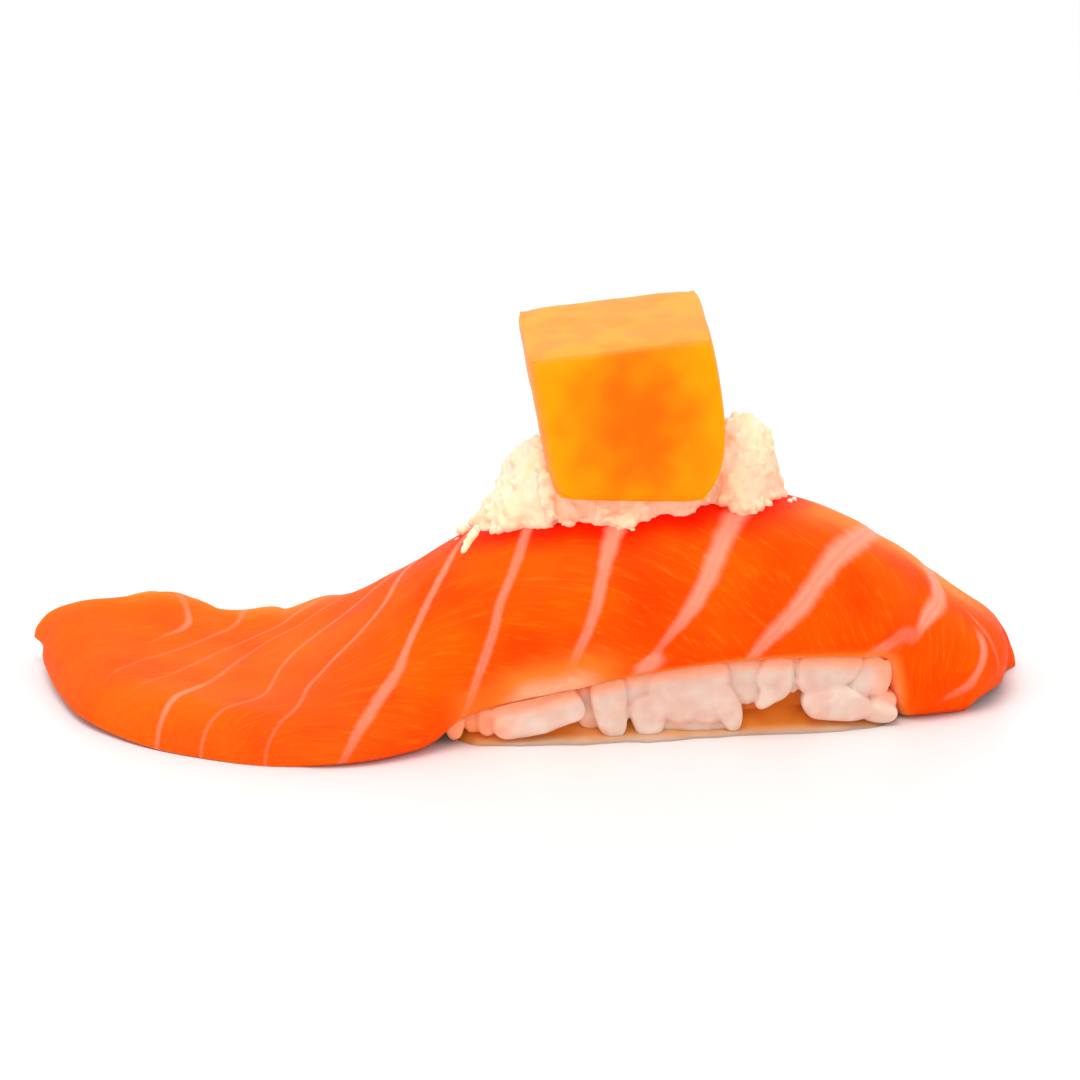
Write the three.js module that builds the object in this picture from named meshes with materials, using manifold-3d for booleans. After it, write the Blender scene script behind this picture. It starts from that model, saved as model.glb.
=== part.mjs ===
// A long salmon nigiri: a slice of salmon draped over a pressed ball of rice, its tail lying flat beside
// the ball, with crumbly soft cheese and a cube of mango on its crown. Millimetres, +Z up, on z = 0.
import * as THREE from "three";
import { mergeVertices } from "three/addons/utils/BufferGeometryUtils.js";
import Module from "manifold-3d";

// ---- driving dimensions ---------------------------------------------------------------------

// The drawing origin lies under the crown of the slice; CENTRE is the middle of the whole on the plate.
const CENTRE = { x: 0.3, y: 2.2 };
const GAP = 0.35; // air kept between pieces that touch

const SLICE = {
  thickness: 4.6,
  taperReach: 9.0, // how far in from the long edges the slice is thinner
  sectionFullness: 0.92, // below 1 squares the arch up a little
  lengthSteps: 42,
  widthSteps: 18,
  edgeCrowding: 0.3, // how much finer the steps are towards the long edges
};

// Stations along X, each with one value: the draped underside of the slice is lofted through them.
const CROWN_HEIGHT = [
  [-48, 1.0], [-38, 0.15], [-29, 0.15], [-22, 1.9], [-14, 6.55], [-8, 10.5], [0, 15.2],
  [9, 17.0], [18, 16.5], [26, 14.3], [33, 10.6], [39, 6.0], [43.5, 2.7], [46.5, 0.7], [48.5, 0.1],
];
const NEAR_HALF_WIDTH = [
  [-48, 17.6], [-26, 17.4], [-20, 16.4], [-16, 14.4], [-12.5, 12.2], [-8, 11.4], [0, 11.8], [10, 12.0],
  [30, 12.0], [34, 10.6], [38, 9.8], [43, 9.2], [48, 7],
];
const FAR_HALF_WIDTH = [
  [-48, 21.5], [-34, 22.5], [-26, 18.4], [-18, 15.2], [-10, 12.9], [0, 12.0],
  [28, 11.8], [38, 11.4], [44, 9.6], [49, 6],
];
const NEAR_RIM_HEIGHT = [
  [-48, 0], [-15, 0], [-12.6, 0.5], [-10, 2.3], [-6, 3.4], [0, 4.6], [10, 6.4], [21, 7.2],
  [30, 6.9], [32, 6.5], [33.2, 5.3], [34, 3.2], [34.8, 1.2], [35.6, 0.2], [38, 0], [48, 0],
];
const FAR_RIM_HEIGHT = [
  [-48, 3.6], [-46, 4.3], [-41, 5.5], [-36.8, 6.3], [-35.8, 6.1], [-34.5, 4.7], [-32, 3.5], [-29.5, 3.1],
  [-28.6, 3.5], [-25.4, 3.5], [-23.4, 2.3], [-21.6, 2.9], [-19.4, 3.4], [-17.2, 2.7], [-14, 2.0], [-6, 4.0],
  [6, 6.4], [20, 7.2], [32, 6.6], [40, 4.2], [44, 1.6], [49, 0.2],
];
const EDGE_THICKNESS = [[-48, 3.4], [-20, 3.6], [-12, 3.2], [-4, 2.6], [30, 2.6], [38, 3.2], [48, 3.6]];

// Where the slice ends in X, from its near edge (-1) over the crown (0) to its far edge (+1).
const TAIL_END = [
  [-1, -25], [-0.6, -33.8], [-0.25, -42.2], [0.05, -46.9], [0.3, -48.2], [0.52, -48.6], [0.64, -48.3],
  [0.72, -48.7], [0.77, -49.2], [0.82, -48.9], [0.87, -47.4], [0.93, -45.4], [1, -44.0],
];
const HEAD_END = [
  [-1, 41.4], [-0.6, 44.4], [-0.2, 46.6], [0.05, 47.4], [0.25, 48.4], [0.5, 49.6], [0.7, 48.4], [1, 45.0],
];

// How far in from each edge the slice rounds off: the long edges by X, the ends from near (-1) to far (+1).
const NEAR_ROUND = [[-48, 7.0], [-18, 6.5], [-9, 2.4], [30, 2.0], [36, 4.5], [48, 5.0]];
const FAR_ROUND = 2.4;
const TAIL_ROUND = [[-1, 5.5], [0.2, 5.5], [0.5, 5.0], [0.75, 7.0], [1, 6.5]];
const HEAD_ROUND = [[-1, 5.0], [0, 5.0], [0.4, 7.0], [1, 5.0]];

const RICE = {
  middle: 12.0,
  halfLength: 24.3,
  halfWidth: 11.4,
  height: 17.8,
  squareness: 2.8,
  grainLength: 6.9,
  grainThickness: 3.2,
  grainSpacing: 5.4,
  rowHeights: [1.35, 3.9, 6.3],
  grainSizes: [0.86, 1.1],
  grainTip: 0.75, // radians out of level, either way
  grainTurn: 0.45, // radians off the wall, either way
  grainStandOut: [-0.1, 0.7],
  grainLift: [-0.35, 0.5],
  wallSteps: 240,
  mostInSlice: 0.4, // share of a grain that may be cut away by the slice
  seed: 41,
};

const CHEESE = {
  middle: [9.5, 2.0],
  steps: 9, // from the middle of the mound to its outline
  embed: 1.0, // how far its body reaches into the slice before the slice is cut out of it
  crestAt: 2.8, // the crest runs a little behind the middle
  front: 2.4, // least height of the mound, away from its crest
  rim: 1.5, // how far in from the outline the mound rises to its full height
  lumps: 150,
  lumpReach: [17, 10], // the spiral on which the lumps lie, before those beyond the outline are left out
  lumpRadius: [0.7, 1.2],
  lumpSunk: 0.45, // how deep a lump's middle lies in the mound, as a share of its radius
  seed: 7,
};
// The mound's outline on the slice, counter-clockwise from its left end, and the height of its crest along X.
const CHEESE_EDGE = [
  [-6.0, 5.2], [-5.7, 2.3], [-4.7, -1.7], [-3.4, -2.8], [-1.9, -2.9], [-0.3, -5.2], [1.2, -5.5], [3.1, -5.5],
  [4.6, -6.9], [6.2, -6.7], [7.7, -7.8], [9.7, -7.1], [11.2, -6.2], [13.4, -6.6], [15.2, -5.0], [16.9, -3.2],
  [18.0, -4.9], [18.9, -5.6], [20.5, -4.6], [22.0, -3.0], [24.3, 0.9], [25.4, 3.4], [24.4, 6.4], [21.0, 8.8],
  [16.0, 10.2], [9.5, 10.6], [3.0, 9.8], [-2.5, 8.0],
];
const CHEESE_CREST_WIDTH = [[-8, 4.6], [-2, 6.8], [1, 6.8], [4, 4.6], [18, 4.6], [21, 5.6], [26, 4.6]];
const CHEESE_CREST = [
  [-7.5, 0.8], [-6.6, 1.7], [-4.5, 2.9], [-3.1, 4.2], [-2.2, 6.1], [0, 6.9], [3, 6], [14, 5], [18.5, 6.6],
  [20, 7.5], [21.4, 7.9], [23.1, 6.6], [24.2, 4.6], [25.3, 2.2], [26, 0.8],
];

const MANGO = {
  middle: [8.1, -0.9],
  turn: THREE.MathUtils.degToRad(-4),
  depth: 15.2,
  foot: { left: -7.2, right: 7.8, leftHeight: 22.7, rightHeight: 22.2 },
  head: { left: -10.1, right: 8.2, leftHeight: 37.4, rightHeight: 39.3 },
  backRise: 1.25, // the cube leans forward: its back stands this much higher than its front
  bellyRight: 1.55,
  bellyLeft: 0.1,
  bellyLow: 0.6, // how much fuller the belly is below its middle
  edgeRound: 0.4,
  edgeSharpness: 9,
  cornerMost: 1.8, // how many times an edge's draw a corner may have
  steps: 6,
};

const SALMON = new THREE.MeshStandardMaterial({ color: 0xff6a2a, roughness: 0.32, metalness: 0 });
const RICE_WHITE = new THREE.MeshStandardMaterial({ color: 0xf6e6da, roughness: 0.45, metalness: 0 });
const CHEESE_CREAM = new THREE.MeshStandardMaterial({ color: 0xfff0d4, roughness: 0.7, metalness: 0 });
const MANGO_ORANGE = new THREE.MeshStandardMaterial({ color: 0xffa31a, roughness: 0.4, metalness: 0 });

// ---- helpers --------------------------------------------------------------------------------

const wasm = await Module();
wasm.setup();

// A smooth monotone curve through [place, value] stations, level beyond its ends.
function through(stations, place) {
  const last = stations.length - 1;
  const x = THREE.MathUtils.clamp(place, stations[0][0], stations[last][0]);
  const width = (k) => stations[k + 1][0] - stations[k][0];
  const slope = (k) => (stations[k + 1][1] - stations[k][1]) / width(k);
  const tangent = (k) => {
    if (k === 0) return slope(0);
    if (k === last) return slope(last - 1);
    const before = slope(k - 1);
    const after = slope(k);
    if (before * after <= 0) return 0;
    const w1 = 2 * width(k) + width(k - 1);
    const w2 = width(k) + 2 * width(k - 1);
    return (w1 + w2) / (w1 / before + w2 / after);
  };
  let k = 0;
  while (k < last - 1 && x > stations[k + 1][0]) k += 1;
  const h = width(k);
  const t = (x - stations[k][0]) / h;
  return (
    (1 + 2 * t) * (1 - t) ** 2 * stations[k][1] +
    t * (1 - t) ** 2 * h * tangent(k) +
    t * t * (3 - 2 * t) * stations[k + 1][1] -
    t * t * (1 - t) * h * tangent(k + 1)
  );
}

// A seeded generator of numbers from 0 to 1.
function seeded(seed) {
  let state = seed;
  return () => {
    state = (state + 0x6d2b79f5) | 0;
    let t = Math.imul(state ^ (state >>> 15), 1 | state);
    t = (t + Math.imul(t ^ (t >>> 7), 61 | t)) ^ t;
    return ((t ^ (t >>> 14)) >>> 0) / 4294967296;
  };
}

const between = (random, low, high) => low + (high - low) * random();

// A closed three.js geometry as a manifold-3d solid.
function solidOf(geometry) {
  const bare = geometry.clone();
  bare.deleteAttribute("normal");
  bare.deleteAttribute("uv");
  const merged = mergeVertices(bare, 1e-4);
  return new wasm.Manifold(
    new wasm.Mesh({
      numProp: 3,
      vertProperties: new Float32Array(merged.attributes.position.array),
      triVerts: new Uint32Array(merged.index.array),
    }),
  );
}

// The largest body of a manifold-3d solid, as a three.js geometry: cut-off scraps are dropped.
function largestBody(solid) {
  const bodies = solid.decompose();
  const largest = bodies.reduce((a, b) => (b.volume() > a.volume() ? b : a));
  const { vertProperties, triVerts, numProp } = largest.getMesh();
  const positions = new Float32Array((vertProperties.length / numProp) * 3);
  for (let i = 0; i < positions.length / 3; i += 1) {
    positions.set(vertProperties.subarray(i * numProp, i * numProp + 3), i * 3);
  }
  const geometry = new THREE.BufferGeometry();
  geometry.setAttribute("position", new THREE.BufferAttribute(positions, 3));
  geometry.setIndex(new THREE.BufferAttribute(new Uint32Array(triVerts), 1));
  geometry.computeVertexNormals();
  return geometry;
}

// A round edge's share of the full thickness, at a distance from that edge.
function roundEdge(distance, radius) {
  const t = 1 - Math.min(distance / radius, 1);
  return Math.sqrt(1 - t * t);
}

function smoothStep(t) {
  const c = THREE.MathUtils.clamp(t, 0, 1);
  return c * c * (3 - 2 * c);
}

const grid = (rows, columns, at) =>
  Array.from({ length: rows + 1 }, (_, i) => Array.from({ length: columns + 1 }, (_, j) => at(i, j)));

// Each inner point of a grid of vectors moves halfway to the mean of its neighbours in both directions.
function soften(points) {
  const rows = points.length - 1;
  const columns = points[0].length - 1;
  const mean = (a, b, c) => b.clone().multiplyScalar(2).add(a).add(c).multiplyScalar(0.25);
  const along = grid(rows, columns, (i, j) =>
    i > 0 && i < rows ? mean(points[i - 1][j], points[i][j], points[i + 1][j]) : points[i][j].clone(),
  );
  return grid(rows, columns, (i, j) =>
    j > 0 && j < columns ? mean(along[i][j - 1], along[i][j], along[i][j + 1]) : along[i][j],
  );
}

// Two grids of points that share their outer ring, closed into one skin. The diagonals run out to the
// corners, so no triangle lies wholly on the shared ring.
function closedSheet(upper, lower) {
  const rows = upper.length - 1;
  const columns = upper[0].length - 1;
  const positions = [];
  const push = (...points) => points.forEach((p) => positions.push(p.x, p.y, p.z));
  for (let i = 0; i < rows; i += 1) {
    for (let j = 0; j < columns; j += 1) {
      const rising = i < rows / 2 === j < columns / 2;
      for (const [face, up] of [[upper, true], [lower, false]]) {
        const [a, b, c, d] = [face[i][j], face[i + 1][j], face[i + 1][j + 1], face[i][j + 1]];
        const triangles = rising ? [[a, b, c], [a, c, d]] : [[a, b, d], [b, c, d]];
        triangles.forEach(([p, q, r]) => (up ? push(p, q, r) : push(p, r, q)));
      }
    }
  }
  const geometry = new THREE.BufferGeometry();
  geometry.setAttribute("position", new THREE.Float32BufferAttribute(positions, 3));
  return geometry;
}

// ---- the slice ------------------------------------------------------------------------------

// A point of the draped underside: a section across X is an arch from the near rim to the far rim.
function undersidePoint(along, across) {
  const x = THREE.MathUtils.lerp(through(TAIL_END, across), through(HEAD_END, across), along);
  const angle = (across * Math.PI) / 2;
  const near = across < 0;
  const halfWidth = through(near ? NEAR_HALF_WIDTH : FAR_HALF_WIDTH, x);
  const rim = through(near ? NEAR_RIM_HEIGHT : FAR_RIM_HEIGHT, x);
  const y = halfWidth * Math.sign(across) * Math.abs(Math.sin(angle)) ** SLICE.sectionFullness;
  const z = rim + (through(CROWN_HEIGHT, x) - rim) * Math.abs(Math.cos(angle)) ** SLICE.sectionFullness;
  return new THREE.Vector3(x, y, z);
}

// Height of the underside over a place, or nothing beyond its rims.
function heightUnder(x, y) {
  const near = y < 0;
  const halfWidth = through(near ? NEAR_HALF_WIDTH : FAR_HALF_WIDTH, x);
  const rim = through(near ? NEAR_RIM_HEIGHT : FAR_RIM_HEIGHT, x);
  if (Math.abs(y) >= halfWidth) return -Infinity;
  const sine = (Math.abs(y) / halfWidth) ** (1 / SLICE.sectionFullness);
  return rim + (through(CROWN_HEIGHT, x) - rim) * Math.sqrt(1 - sine * sine) ** SLICE.sectionFullness;
}

// Height of the slice's top: the highest point of a ball, as big as the slice is thick, that rolls on
// the slice's underside.
function sliceTop(x, y) {
  let highest = heightUnder(x, y) + SLICE.thickness;
  for (const share of [0.25, 0.5, 0.7, 0.85, 0.95]) {
    const reach = share * SLICE.thickness;
    for (let k = 0; k < 16; k += 1) {
      const turn = (2 * Math.PI * k) / 16;
      const under = heightUnder(x + reach * Math.cos(turn), y + reach * Math.sin(turn));
      highest = Math.max(highest, under + SLICE.thickness * Math.sqrt(1 - share * share));
    }
  }
  return highest;
}

// The slice as a closed skin; grown, it stands off the slice by that much all round, ready to cut its
// neighbours.
function sliceSkin(grown) {
  const { lengthSteps: rows, widthSteps: columns } = SLICE;
  const along = (i) => 0.5 * (i / rows) + 0.5 * (0.5 - 0.5 * Math.cos((Math.PI * i) / rows));
  const across = (j) => {
    const t = (2 * j) / columns - 1;
    return t + (SLICE.edgeCrowding * Math.sin(Math.PI * t)) / Math.PI;
  };
  const under = soften(grid(rows, columns, (i, j) => undersidePoint(along(i), across(j))));

  const difference = (i0, j0, i1, j1) => under[i1][j1].clone().sub(under[i0][j0]);
  const normals = soften(
    grid(rows, columns, (i, j) =>
      difference(Math.max(i - 1, 0), j, Math.min(i + 1, rows), j)
        .cross(difference(i, Math.max(j - 1, 0), i, Math.min(j + 1, columns)))
        .normalize(),
    ),
  );
  normals.flat().forEach((n) => n.normalize());

  // Distances over the surface from its four edges.
  const fromNear = grid(rows, columns, () => 0);
  const fromTail = grid(rows, columns, () => 0);
  for (let i = 0; i <= rows; i += 1) {
    for (let j = 0; j <= columns; j += 1) {
      if (j > 0) fromNear[i][j] = fromNear[i][j - 1] + difference(i, j - 1, i, j).length();
      if (i > 0) fromTail[i][j] = fromTail[i - 1][j] + difference(i - 1, j, i, j).length();
    }
  }
  const thickness = (i, j) => {
    const near = fromNear[i][j];
    const far = fromNear[i][columns] - near;
    const tail = fromTail[i][j];
    const head = fromTail[rows][j] - tail;
    const towardsEdge = 1 - smoothStep(Math.min(near, far) / SLICE.taperReach);
    const full = THREE.MathUtils.lerp(SLICE.thickness, through(EDGE_THICKNESS, under[i][j].x), towardsEdge);
    return (
      full *
      roundEdge(near, through(NEAR_ROUND, under[i][j].x)) *
      roundEdge(far, FAR_ROUND) *
      roundEdge(tail, through(TAIL_ROUND, across(j))) *
      roundEdge(head, through(HEAD_ROUND, across(j)))
    );
  };
  const offset = (i, j, distance) => under[i][j].clone().addScaledVector(normals[i][j], distance);
  const upper = grid(rows, columns, (i, j) => offset(i, j, thickness(i, j) + grown));
  const lower = grid(rows, columns, (i, j) => offset(i, j, -grown));
  if (grown === 0) return closedSheet(upper, lower);

  // The grown skin closes in a ring that lies outside the slice's own edge.
  const outward = (i, j) => {
    const step = new THREE.Vector3();
    if (i === 0) step.add(difference(1, j, 0, j).normalize());
    if (i === rows) step.add(difference(rows - 1, j, rows, j).normalize());
    if (j === 0) step.add(difference(i, 1, i, 0).normalize());
    if (j === columns) step.add(difference(i, columns - 1, i, columns).normalize());
    return under[i][j].clone().addScaledVector(step.normalize(), 2 * grown);
  };
  const widened = (face) =>
    grid(rows + 2, columns + 2, (i, j) => {
      const inside = i > 0 && i < rows + 2 && j > 0 && j < columns + 2;
      const row = THREE.MathUtils.clamp(i - 1, 0, rows);
      const column = THREE.MathUtils.clamp(j - 1, 0, columns);
      if (inside) return face[row][column];
      return outward(row, column).add(cornerStep(i, j, rows, columns, under, grown));
    });
  return closedSheet(widened(upper), widened(lower));
}

// The outer ring has three points round each corner: the two beside the corner step along one edge only.
function cornerStep(i, j, rows, columns, under, grown) {
  const rowEnd = i === 0 || i === rows + 2;
  const columnEnd = j === 0 || j === columns + 2;
  const atRow = i <= 1 ? 0 : i >= rows + 1 ? rows : -1;
  const atColumn = j <= 1 ? 0 : j >= columns + 1 ? columns : -1;
  const step = new THREE.Vector3();
  if (atRow < 0 || atColumn < 0 || (rowEnd && columnEnd)) return step;
  const innerRow = atRow === 0 ? 1 : rows - 1;
  const innerColumn = atColumn === 0 ? 1 : columns - 1;
  const corner = under[atRow][atColumn];
  const inward = rowEnd ? under[atRow][innerColumn] : under[innerRow][atColumn];
  return step.copy(inward).sub(corner).normalize().multiplyScalar(grown);
}

// ---- the rice -------------------------------------------------------------------------------

// A ball of unit radius squared up to a pressed loaf.
function riceCore() {
  const geometry = new THREE.SphereGeometry(1, 28, 12);
  geometry.rotateX(Math.PI / 2);
  const position = geometry.getAttribute("position");
  const n = RICE.squareness;
  for (let i = 0; i < position.count; i += 1) {
    const p = new THREE.Vector3().fromBufferAttribute(position, i);
    const size = (Math.abs(p.x) ** n + Math.abs(p.y) ** n + Math.abs(p.z) ** n) ** (1 / n);
    p.divideScalar(size).multiply(new THREE.Vector3(RICE.halfLength, RICE.halfWidth, RICE.height));
    position.setXYZ(i, p.x + RICE.middle, p.y, p.z);
  }
  return geometry;
}

// A point of the loaf's wall, at a height and an angle.
function riceWall(height, angle) {
  const n = RICE.squareness;
  const shrink = (1 - (height / RICE.height) ** n) ** (1 / n);
  const c = Math.cos(angle);
  const s = Math.sin(angle);
  const size = (Math.abs(c) ** n + Math.abs(s) ** n) ** (1 / n);
  return new THREE.Vector3(
    RICE.middle + (RICE.halfLength * shrink * c) / size,
    (RICE.halfWidth * shrink * s) / size,
    height,
  );
}

// Grains lie in rows round the wall of the loaf, half sunk in it, each turned and tipped its own way.
function riceGrains() {
  const random = seeded(RICE.seed);
  const grains = [];
  RICE.rowHeights.forEach((height, row) => {
    const around = grid(0, RICE.wallSteps, (_, j) => riceWall(height, (2 * Math.PI * j) / RICE.wallSteps))[0];
    let walked = (row * RICE.grainSpacing) / 2;
    for (let j = 0; j < around.length - 1; j += 1) {
      const side = around[j + 1].clone().sub(around[j]);
      walked += side.length();
      if (walked < RICE.grainSpacing) continue;
      walked -= RICE.grainSpacing;
      side.normalize();
      const outward = new THREE.Vector3(side.y, -side.x, 0);
      const size = between(random, ...RICE.grainSizes);
      const geometry = new THREE.SphereGeometry(1, 6, 4);
      geometry.rotateZ(Math.PI / 2);
      geometry.scale(
        (size * RICE.grainLength) / 2,
        (size * RICE.grainThickness) / 2,
        (between(random, ...RICE.grainSizes) * RICE.grainThickness) / 2,
      );
      geometry.rotateX(between(random, 0, Math.PI));
      geometry.rotateY(between(random, -RICE.grainTip, RICE.grainTip));
      geometry.rotateZ(Math.atan2(side.y, side.x) + between(random, -RICE.grainTurn, RICE.grainTurn));
      const centre = around[j].clone().addScaledVector(outward, between(random, ...RICE.grainStandOut));
      centre.z += between(random, ...RICE.grainLift);
      geometry.translate(centre.x, centre.y, centre.z);
      grains.push(solidOf(geometry));
    }
  });
  return grains;
}

function belowTable() {
  const slab = new THREE.BoxGeometry(200, 200, 20);
  slab.translate(0, 0, -10);
  return solidOf(slab);
}

// A grain that would lie mostly in the slice is left out.
function riceBall(cutter) {
  const clear = riceGrains().filter(
    (grain) => grain.intersect(cutter).volume() < RICE.mostInSlice * grain.volume(),
  );
  const heap = clear.reduce((sum, grain) => sum.add(grain), solidOf(riceCore()));
  return largestBody(heap.subtract(belowTable()).subtract(cutter));
}

// ---- the cube -------------------------------------------------------------------------------

// A cut block with soft edges: narrower at its foot, bellied to the right, its top rising to the right
// and back.
function mangoBlock(grown) {
  const geometry = new THREE.BoxGeometry(2, 2, 2, MANGO.steps, MANGO.steps, MANGO.steps);
  const position = geometry.getAttribute("position");
  const { foot, head } = MANGO;
  for (let i = 0; i < position.count; i += 1) {
    const u = new THREE.Vector3().fromBufferAttribute(position, i);
    u.set(...u.toArray().map((t) => Math.sin((t * Math.PI) / 2)));
    const up = (u.z + 1) / 2;
    const over = (u.x + 1) / 2;
    const back = (u.y + 1) / 2;
    const belly = (1 - u.z * u.z) * (1 - MANGO.bellyLow * u.z);
    const left = THREE.MathUtils.lerp(foot.left, head.left, up) - MANGO.bellyLeft * belly - grown;
    const right = THREE.MathUtils.lerp(foot.right, head.right, up) + MANGO.bellyRight * belly + grown;
    const lean = MANGO.backRise * back;
    const bottom = THREE.MathUtils.lerp(foot.leftHeight, foot.rightHeight, over) + lean - grown;
    const top = THREE.MathUtils.lerp(head.leftHeight, head.rightHeight, over) + lean + grown;
    const p = new THREE.Vector3(
      THREE.MathUtils.lerp(left, right, over),
      u.y * (MANGO.depth / 2 + grown),
      THREE.MathUtils.lerp(bottom, top, up),
    );
    // An edge or corner is drawn in, by the share of the unit cube's faces that meet there.
    const edges = ["x", "y", "z"].map((axis) => Math.abs(u[axis]) ** MANGO.edgeSharpness);
    const meeting = edges[0] * edges[1] + edges[1] * edges[2] + edges[2] * edges[0];
    const middle = new THREE.Vector3((left + right) / 2, 0, (bottom + top) / 2);
    p.addScaledVector(middle.sub(p).normalize(), MANGO.edgeRound * Math.min(meeting, MANGO.cornerMost));
    position.setXYZ(i, p.x, p.y, p.z);
  }
  geometry.rotateZ(MANGO.turn);
  geometry.translate(MANGO.middle[0], MANGO.middle[1], 0);
  return geometry;
}

// ---- the cheese -----------------------------------------------------------------------------

// Distance from a place to the mound's outline, positive inside it.
function edgeDistance(x, y) {
  let nearest = Infinity;
  let inside = false;
  CHEESE_EDGE.forEach(([ax, ay], k) => {
    const [bx, by] = CHEESE_EDGE[(k + 1) % CHEESE_EDGE.length];
    const dx = bx - ax;
    const dy = by - ay;
    const t = THREE.MathUtils.clamp(((x - ax) * dx + (y - ay) * dy) / (dx * dx + dy * dy), 0, 1);
    nearest = Math.min(nearest, Math.hypot(x - ax - t * dx, y - ay - t * dy));
    if (ay > y !== by > y && x < ax + ((y - ay) * dx) / dy) inside = !inside;
  });
  return inside ? nearest : -nearest;
}

// Height of the mound over the slice: a crest that falls off to both sides, steep at the outline.
function moundRise(x, y) {
  const width = through(CHEESE_CREST_WIDTH, x);
  const bell = Math.exp(-(((y - CHEESE.crestAt) / width) ** 2));
  const crest = through(CHEESE_CREST, x);
  const rise = Math.min(CHEESE.front, crest + 0.6) + Math.max(crest - CHEESE.front, 0) * bell;
  return rise * roundEdge(Math.max(edgeDistance(x, y), 0), CHEESE.rim);
}

// The body of the mound: rays from its middle to its outline, over the top and back underneath.
function cheeseCore() {
  const { middle, steps, embed } = CHEESE;
  const outline = CHEESE_EDGE.flatMap(([x, y], k) => {
    const [nextX, nextY] = CHEESE_EDGE[(k + 1) % CHEESE_EDGE.length];
    return [[x, y], [(x + nextX) / 2, (y + nextY) / 2]];
  });
  const rays = outline.length;
  const at = (ray, share, top) => {
    const x = THREE.MathUtils.lerp(middle[0], outline[ray % rays][0], share);
    const y = THREE.MathUtils.lerp(middle[1], outline[ray % rays][1], share);
    const rise = top ? moundRise(x, y) : -embed;
    return new THREE.Vector3(x, y, sliceTop(x, y) + (share < 1 ? rise : 0));
  };
  const share = (step) => 1 - (1 - step / steps) ** 1.6;
  const positions = [];
  for (let ray = 0; ray < rays; ray += 1) {
    for (let step = 0; step < steps; step += 1) {
      for (const top of [true, false]) {
        const [a, b, c, d] = [
          at(ray, share(step), top), at(ray, share(step + 1), top),
          at(ray + 1, share(step + 1), top), at(ray + 1, share(step), top),
        ];
        const triangles = step === 0 ? [[a, b, c]] : [[a, b, c], [a, c, d]];
        for (const [p, q, r] of triangles) {
          for (const v of top ? [p, q, r] : [p, r, q]) positions.push(v.x, v.y, v.z);
        }
      }
    }
  }
  const geometry = new THREE.BufferGeometry();
  geometry.setAttribute("position", new THREE.Float32BufferAttribute(positions, 3));
  return geometry;
}

// Lumps of curd sit in the mound's skin, along a spiral that spreads them evenly over its outline.
function cheeseLumps() {
  const random = seeded(CHEESE.seed);
  const golden = Math.PI * (3 - Math.sqrt(5));
  const lumps = [];
  for (let k = 0; k < CHEESE.lumps; k += 1) {
    const reach = Math.sqrt((k + 0.5) / CHEESE.lumps);
    const x = CHEESE.middle[0] + CHEESE.lumpReach[0] * reach * Math.cos(k * golden);
    const y = CHEESE.middle[1] + CHEESE.lumpReach[1] * reach * Math.sin(k * golden);
    const radius = between(random, ...CHEESE.lumpRadius);
    const tip = between(random, 0, Math.PI);
    const turn = between(random, 0, Math.PI);
    if (edgeDistance(x, y) < 0.2 * radius) continue;
    const geometry = new THREE.IcosahedronGeometry(radius, 0);
    geometry.rotateX(tip);
    geometry.rotateZ(turn);
    geometry.translate(x, y, sliceTop(x, y) + moundRise(x, y) - CHEESE.lumpSunk * radius);
    lumps.push(solidOf(geometry));
  }
  return lumps;
}

function cheeseMound(cutter) {
  const mound = cheeseLumps().reduce((sum, lump) => sum.add(lump), solidOf(cheeseCore()));
  return largestBody(mound.subtract(cutter).subtract(solidOf(mangoBlock(GAP))));
}

// ---- the whole ------------------------------------------------------------------------------

function piece(name, geometry, material) {
  const mesh = new THREE.Mesh(geometry, material);
  mesh.name = name;
  return mesh;
}

const cutter = solidOf(sliceSkin(GAP));
const nigiri = new THREE.Group();
nigiri.position.set(-CENTRE.x, -CENTRE.y, 0);
nigiri.add(
  piece("rice_ball", riceBall(cutter), RICE_WHITE),
  piece("salmon_slice", sliceSkin(0), SALMON),
  piece("soft_cheese", cheeseMound(cutter), CHEESE_CREAM),
  piece("mango_cube", mangoBlock(0), MANGO_ORANGE),
);

const part = new THREE.Group();
part.add(nigiri);

export default part;
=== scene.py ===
import bpy
import numpy as np
from mathutils import Matrix, Vector


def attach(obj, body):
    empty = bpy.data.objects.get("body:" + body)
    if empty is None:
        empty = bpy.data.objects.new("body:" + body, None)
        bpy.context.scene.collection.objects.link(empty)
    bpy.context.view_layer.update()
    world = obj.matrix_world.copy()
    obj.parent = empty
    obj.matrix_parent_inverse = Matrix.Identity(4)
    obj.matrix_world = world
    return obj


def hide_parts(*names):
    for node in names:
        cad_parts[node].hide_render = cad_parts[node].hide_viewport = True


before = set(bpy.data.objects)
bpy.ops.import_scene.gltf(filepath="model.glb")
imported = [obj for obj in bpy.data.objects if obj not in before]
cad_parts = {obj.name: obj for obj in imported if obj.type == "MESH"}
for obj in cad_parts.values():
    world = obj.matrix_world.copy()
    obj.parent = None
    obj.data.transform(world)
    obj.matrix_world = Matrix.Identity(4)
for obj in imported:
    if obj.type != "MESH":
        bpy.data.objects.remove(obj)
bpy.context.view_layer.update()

MM = 0.001
CENTRE = np.array([0.3, 2.2, 0.0])  # the middle of the whole, in the drawing frame
SHARP_FROM = 50.0  # faces that meet at more degrees than this keep a crisp edge

# ---- sizes ---------------------------------------------------------------------------------------

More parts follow.
